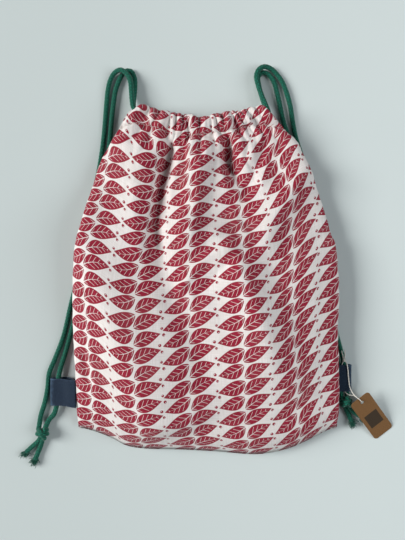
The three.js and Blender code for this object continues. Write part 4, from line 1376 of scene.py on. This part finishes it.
def add_tag():
    """The card, its rim and hole blunted, leaning from its top on the knot to its foot on the floor."""
    levels = [(TAG_BLUNTING, 0.0), (0.0, TAG_BLUNTING), (0.0, TAG_THICKNESS - TAG_BLUNTING),
              (TAG_BLUNTING, TAG_THICKNESS)]
    work = bmesh.new()
    outers, holes = (
        [[work.verts.new((x, y, height)) for x, y in rim(reach)] for reach, height in levels]
        for rim in (tag_rim, tag_hole)
    )
    for rings in (outers, holes):
        for low, high in zip(rings, rings[1:]):
            for (a, b), (d, c) in zip(pairs_round(low), pairs_round(high)):
                work.faces.new((a, b, c, d))
    for index in (0, -1):
        rims = pairs_round(outers[index]) + pairs_round(holes[index])
        edges = [work.edges.get(pair) for pair in rims]
        bmesh.ops.triangle_fill(work, edges=edges, use_beauty=True)
    bmesh.ops.recalc_face_normals(work, faces=work.faces)
    uv = work.loops.layers.uv.new("UVMap")
    for face in work.faces:
        for loop in face.loops:
            loop[uv].uv = loop.vert.co.xy
    down = unit(TAG_FOOT - TAG_TOP)
    level = unit(np.cross(down, (0, 0, 1)))
    out = np.cross(level, down)
    for vert in work.verts:
        x, y, z = vert.co
        vert.co = Vector((TAG_TOP + level * x + down * y + out * z) * MM)
    mesh = bpy.data.meshes.new("visual_hang_tag")
    work.to_mesh(mesh)
    work.free()
    finish_piece(placed("visual_hang_tag", mesh), "hang_tag", "kraft_card", KRAFT)


def ply_relief(around, along):
    return 0.1 * np.cos(2 * around - 2 * np.pi * along / 3.2)


THREAD_DIAMETER = 1.15


def add_thread():
    """The tag's thread, with the two turns of its knot."""
    routes = {"visual_tag_string": STRING_ROUTE}
    for index, (way, start) in enumerate((((0.4, 1, 0.1), 0.4), ((1, -0.3, 0.4), 2.0))):
        routes[f"thread_knot{index}"] = coil(
            STRING_KNOT, way, start, turns=1.3, radius=1.35, climb=1.4, squash=0.9)
    pieces = [
        tube_mesh(name, route, THREAD_DIAMETER, ply_relief, sides=10, step=0.42)[0]
        for name, route in routes.items()
    ]
    finish_piece(joined("visual_tag_string", pieces), "tag_string", "white_thread", THREAD)


# Cords first, then what carries them

for strand_name, route in (
    ("left_strand_front", LEFT_FRONT_ROUTE), ("left_strand_back", LEFT_BACK_ROUTE),
    ("right_strand_front", RIGHT_FRONT_ROUTE), ("right_strand_back", RIGHT_BACK_ROUTE),
):
    add_cord(strand_name, route)
for run_name, lane, enter, turn_place in (
    ("left_cord_run", 1, -1, 0.79), ("right_cord_run", -1, 1, -0.87),
):
    route = casing_run(lane, enter, turn_place)
    run, _ = tube_mesh("visual_" + run_name, route, CORD_DIAMETER, braid_relief, sides=18, step=1.2)
    finish_piece(run, run_name, "green_cord", BRAID)
left_routes = (LEFT_FRONT_ROUTE, LEFT_BACK_ROUTE)
right_routes = (RIGHT_FRONT_ROUTE, RIGHT_BACK_ROUTE)
add_knot("left_knot", LEFT_KNOT, left_routes, LEFT_TAILS, way=(-0.3, -1, 0), seed=21)
add_knot("right_knot", RIGHT_KNOT, right_routes, RIGHT_TAILS, way=(0.3, -1, 0), seed=42)

front_seam = add_panel("front", front_point, FRONT_CASING_Z, up=1)
back_seam = add_panel("back", back_point, BACK_CASING_Z, up=-1)
stitch_row("front_casing_stitches", *front_seam)
stitch_row("back_casing_stitches", *back_seam)
add_tab("left", LEFT_TAB_SECTION, LEFT_TAB_TOP, seed=3)
add_tab("right", RIGHT_TAB_SECTION, RIGHT_TAB_TOP, seed=4)
add_tag()
add_thread()


# Floor and light

def add_floor():
    bpy.ops.mesh.primitive_plane_add(size=3.0, location=(0, 0, 0))
    floor = bpy.context.object
    floor.name = "floor"
    floor.data.materials.append(WALL_PAINT)


def add_light(name, place, power, size, colour):
    data = bpy.data.lights.new(name, "AREA")
    data.energy = power
    data.size = size
    data.color = colour
    light = placed(name, data)
    light.location = place
    light.rotation_euler = (-Vector(place)).to_track_quat("-Z", "Y").to_euler()


add_floor()
add_light("key", (-5.2, 0.7, 3.3), power=445.0, size=3.0, colour=(1, 0.99, 0.975))
add_light("fill", (2.4, -0.3, 1.9), power=45.0, size=2.0, colour=(0.94, 0.97, 1))
world = bpy.data.worlds.new("room")
bpy.context.scene.world = world
world.use_nodes = True
world.node_tree.nodes["Background"].inputs["Color"].default_value = (0.86, 0.9, 0.95, 1)
world.node_tree.nodes["Background"].inputs["Strength"].default_value = 0.14
bpy.context.scene.view_settings.view_transform = "Standard"
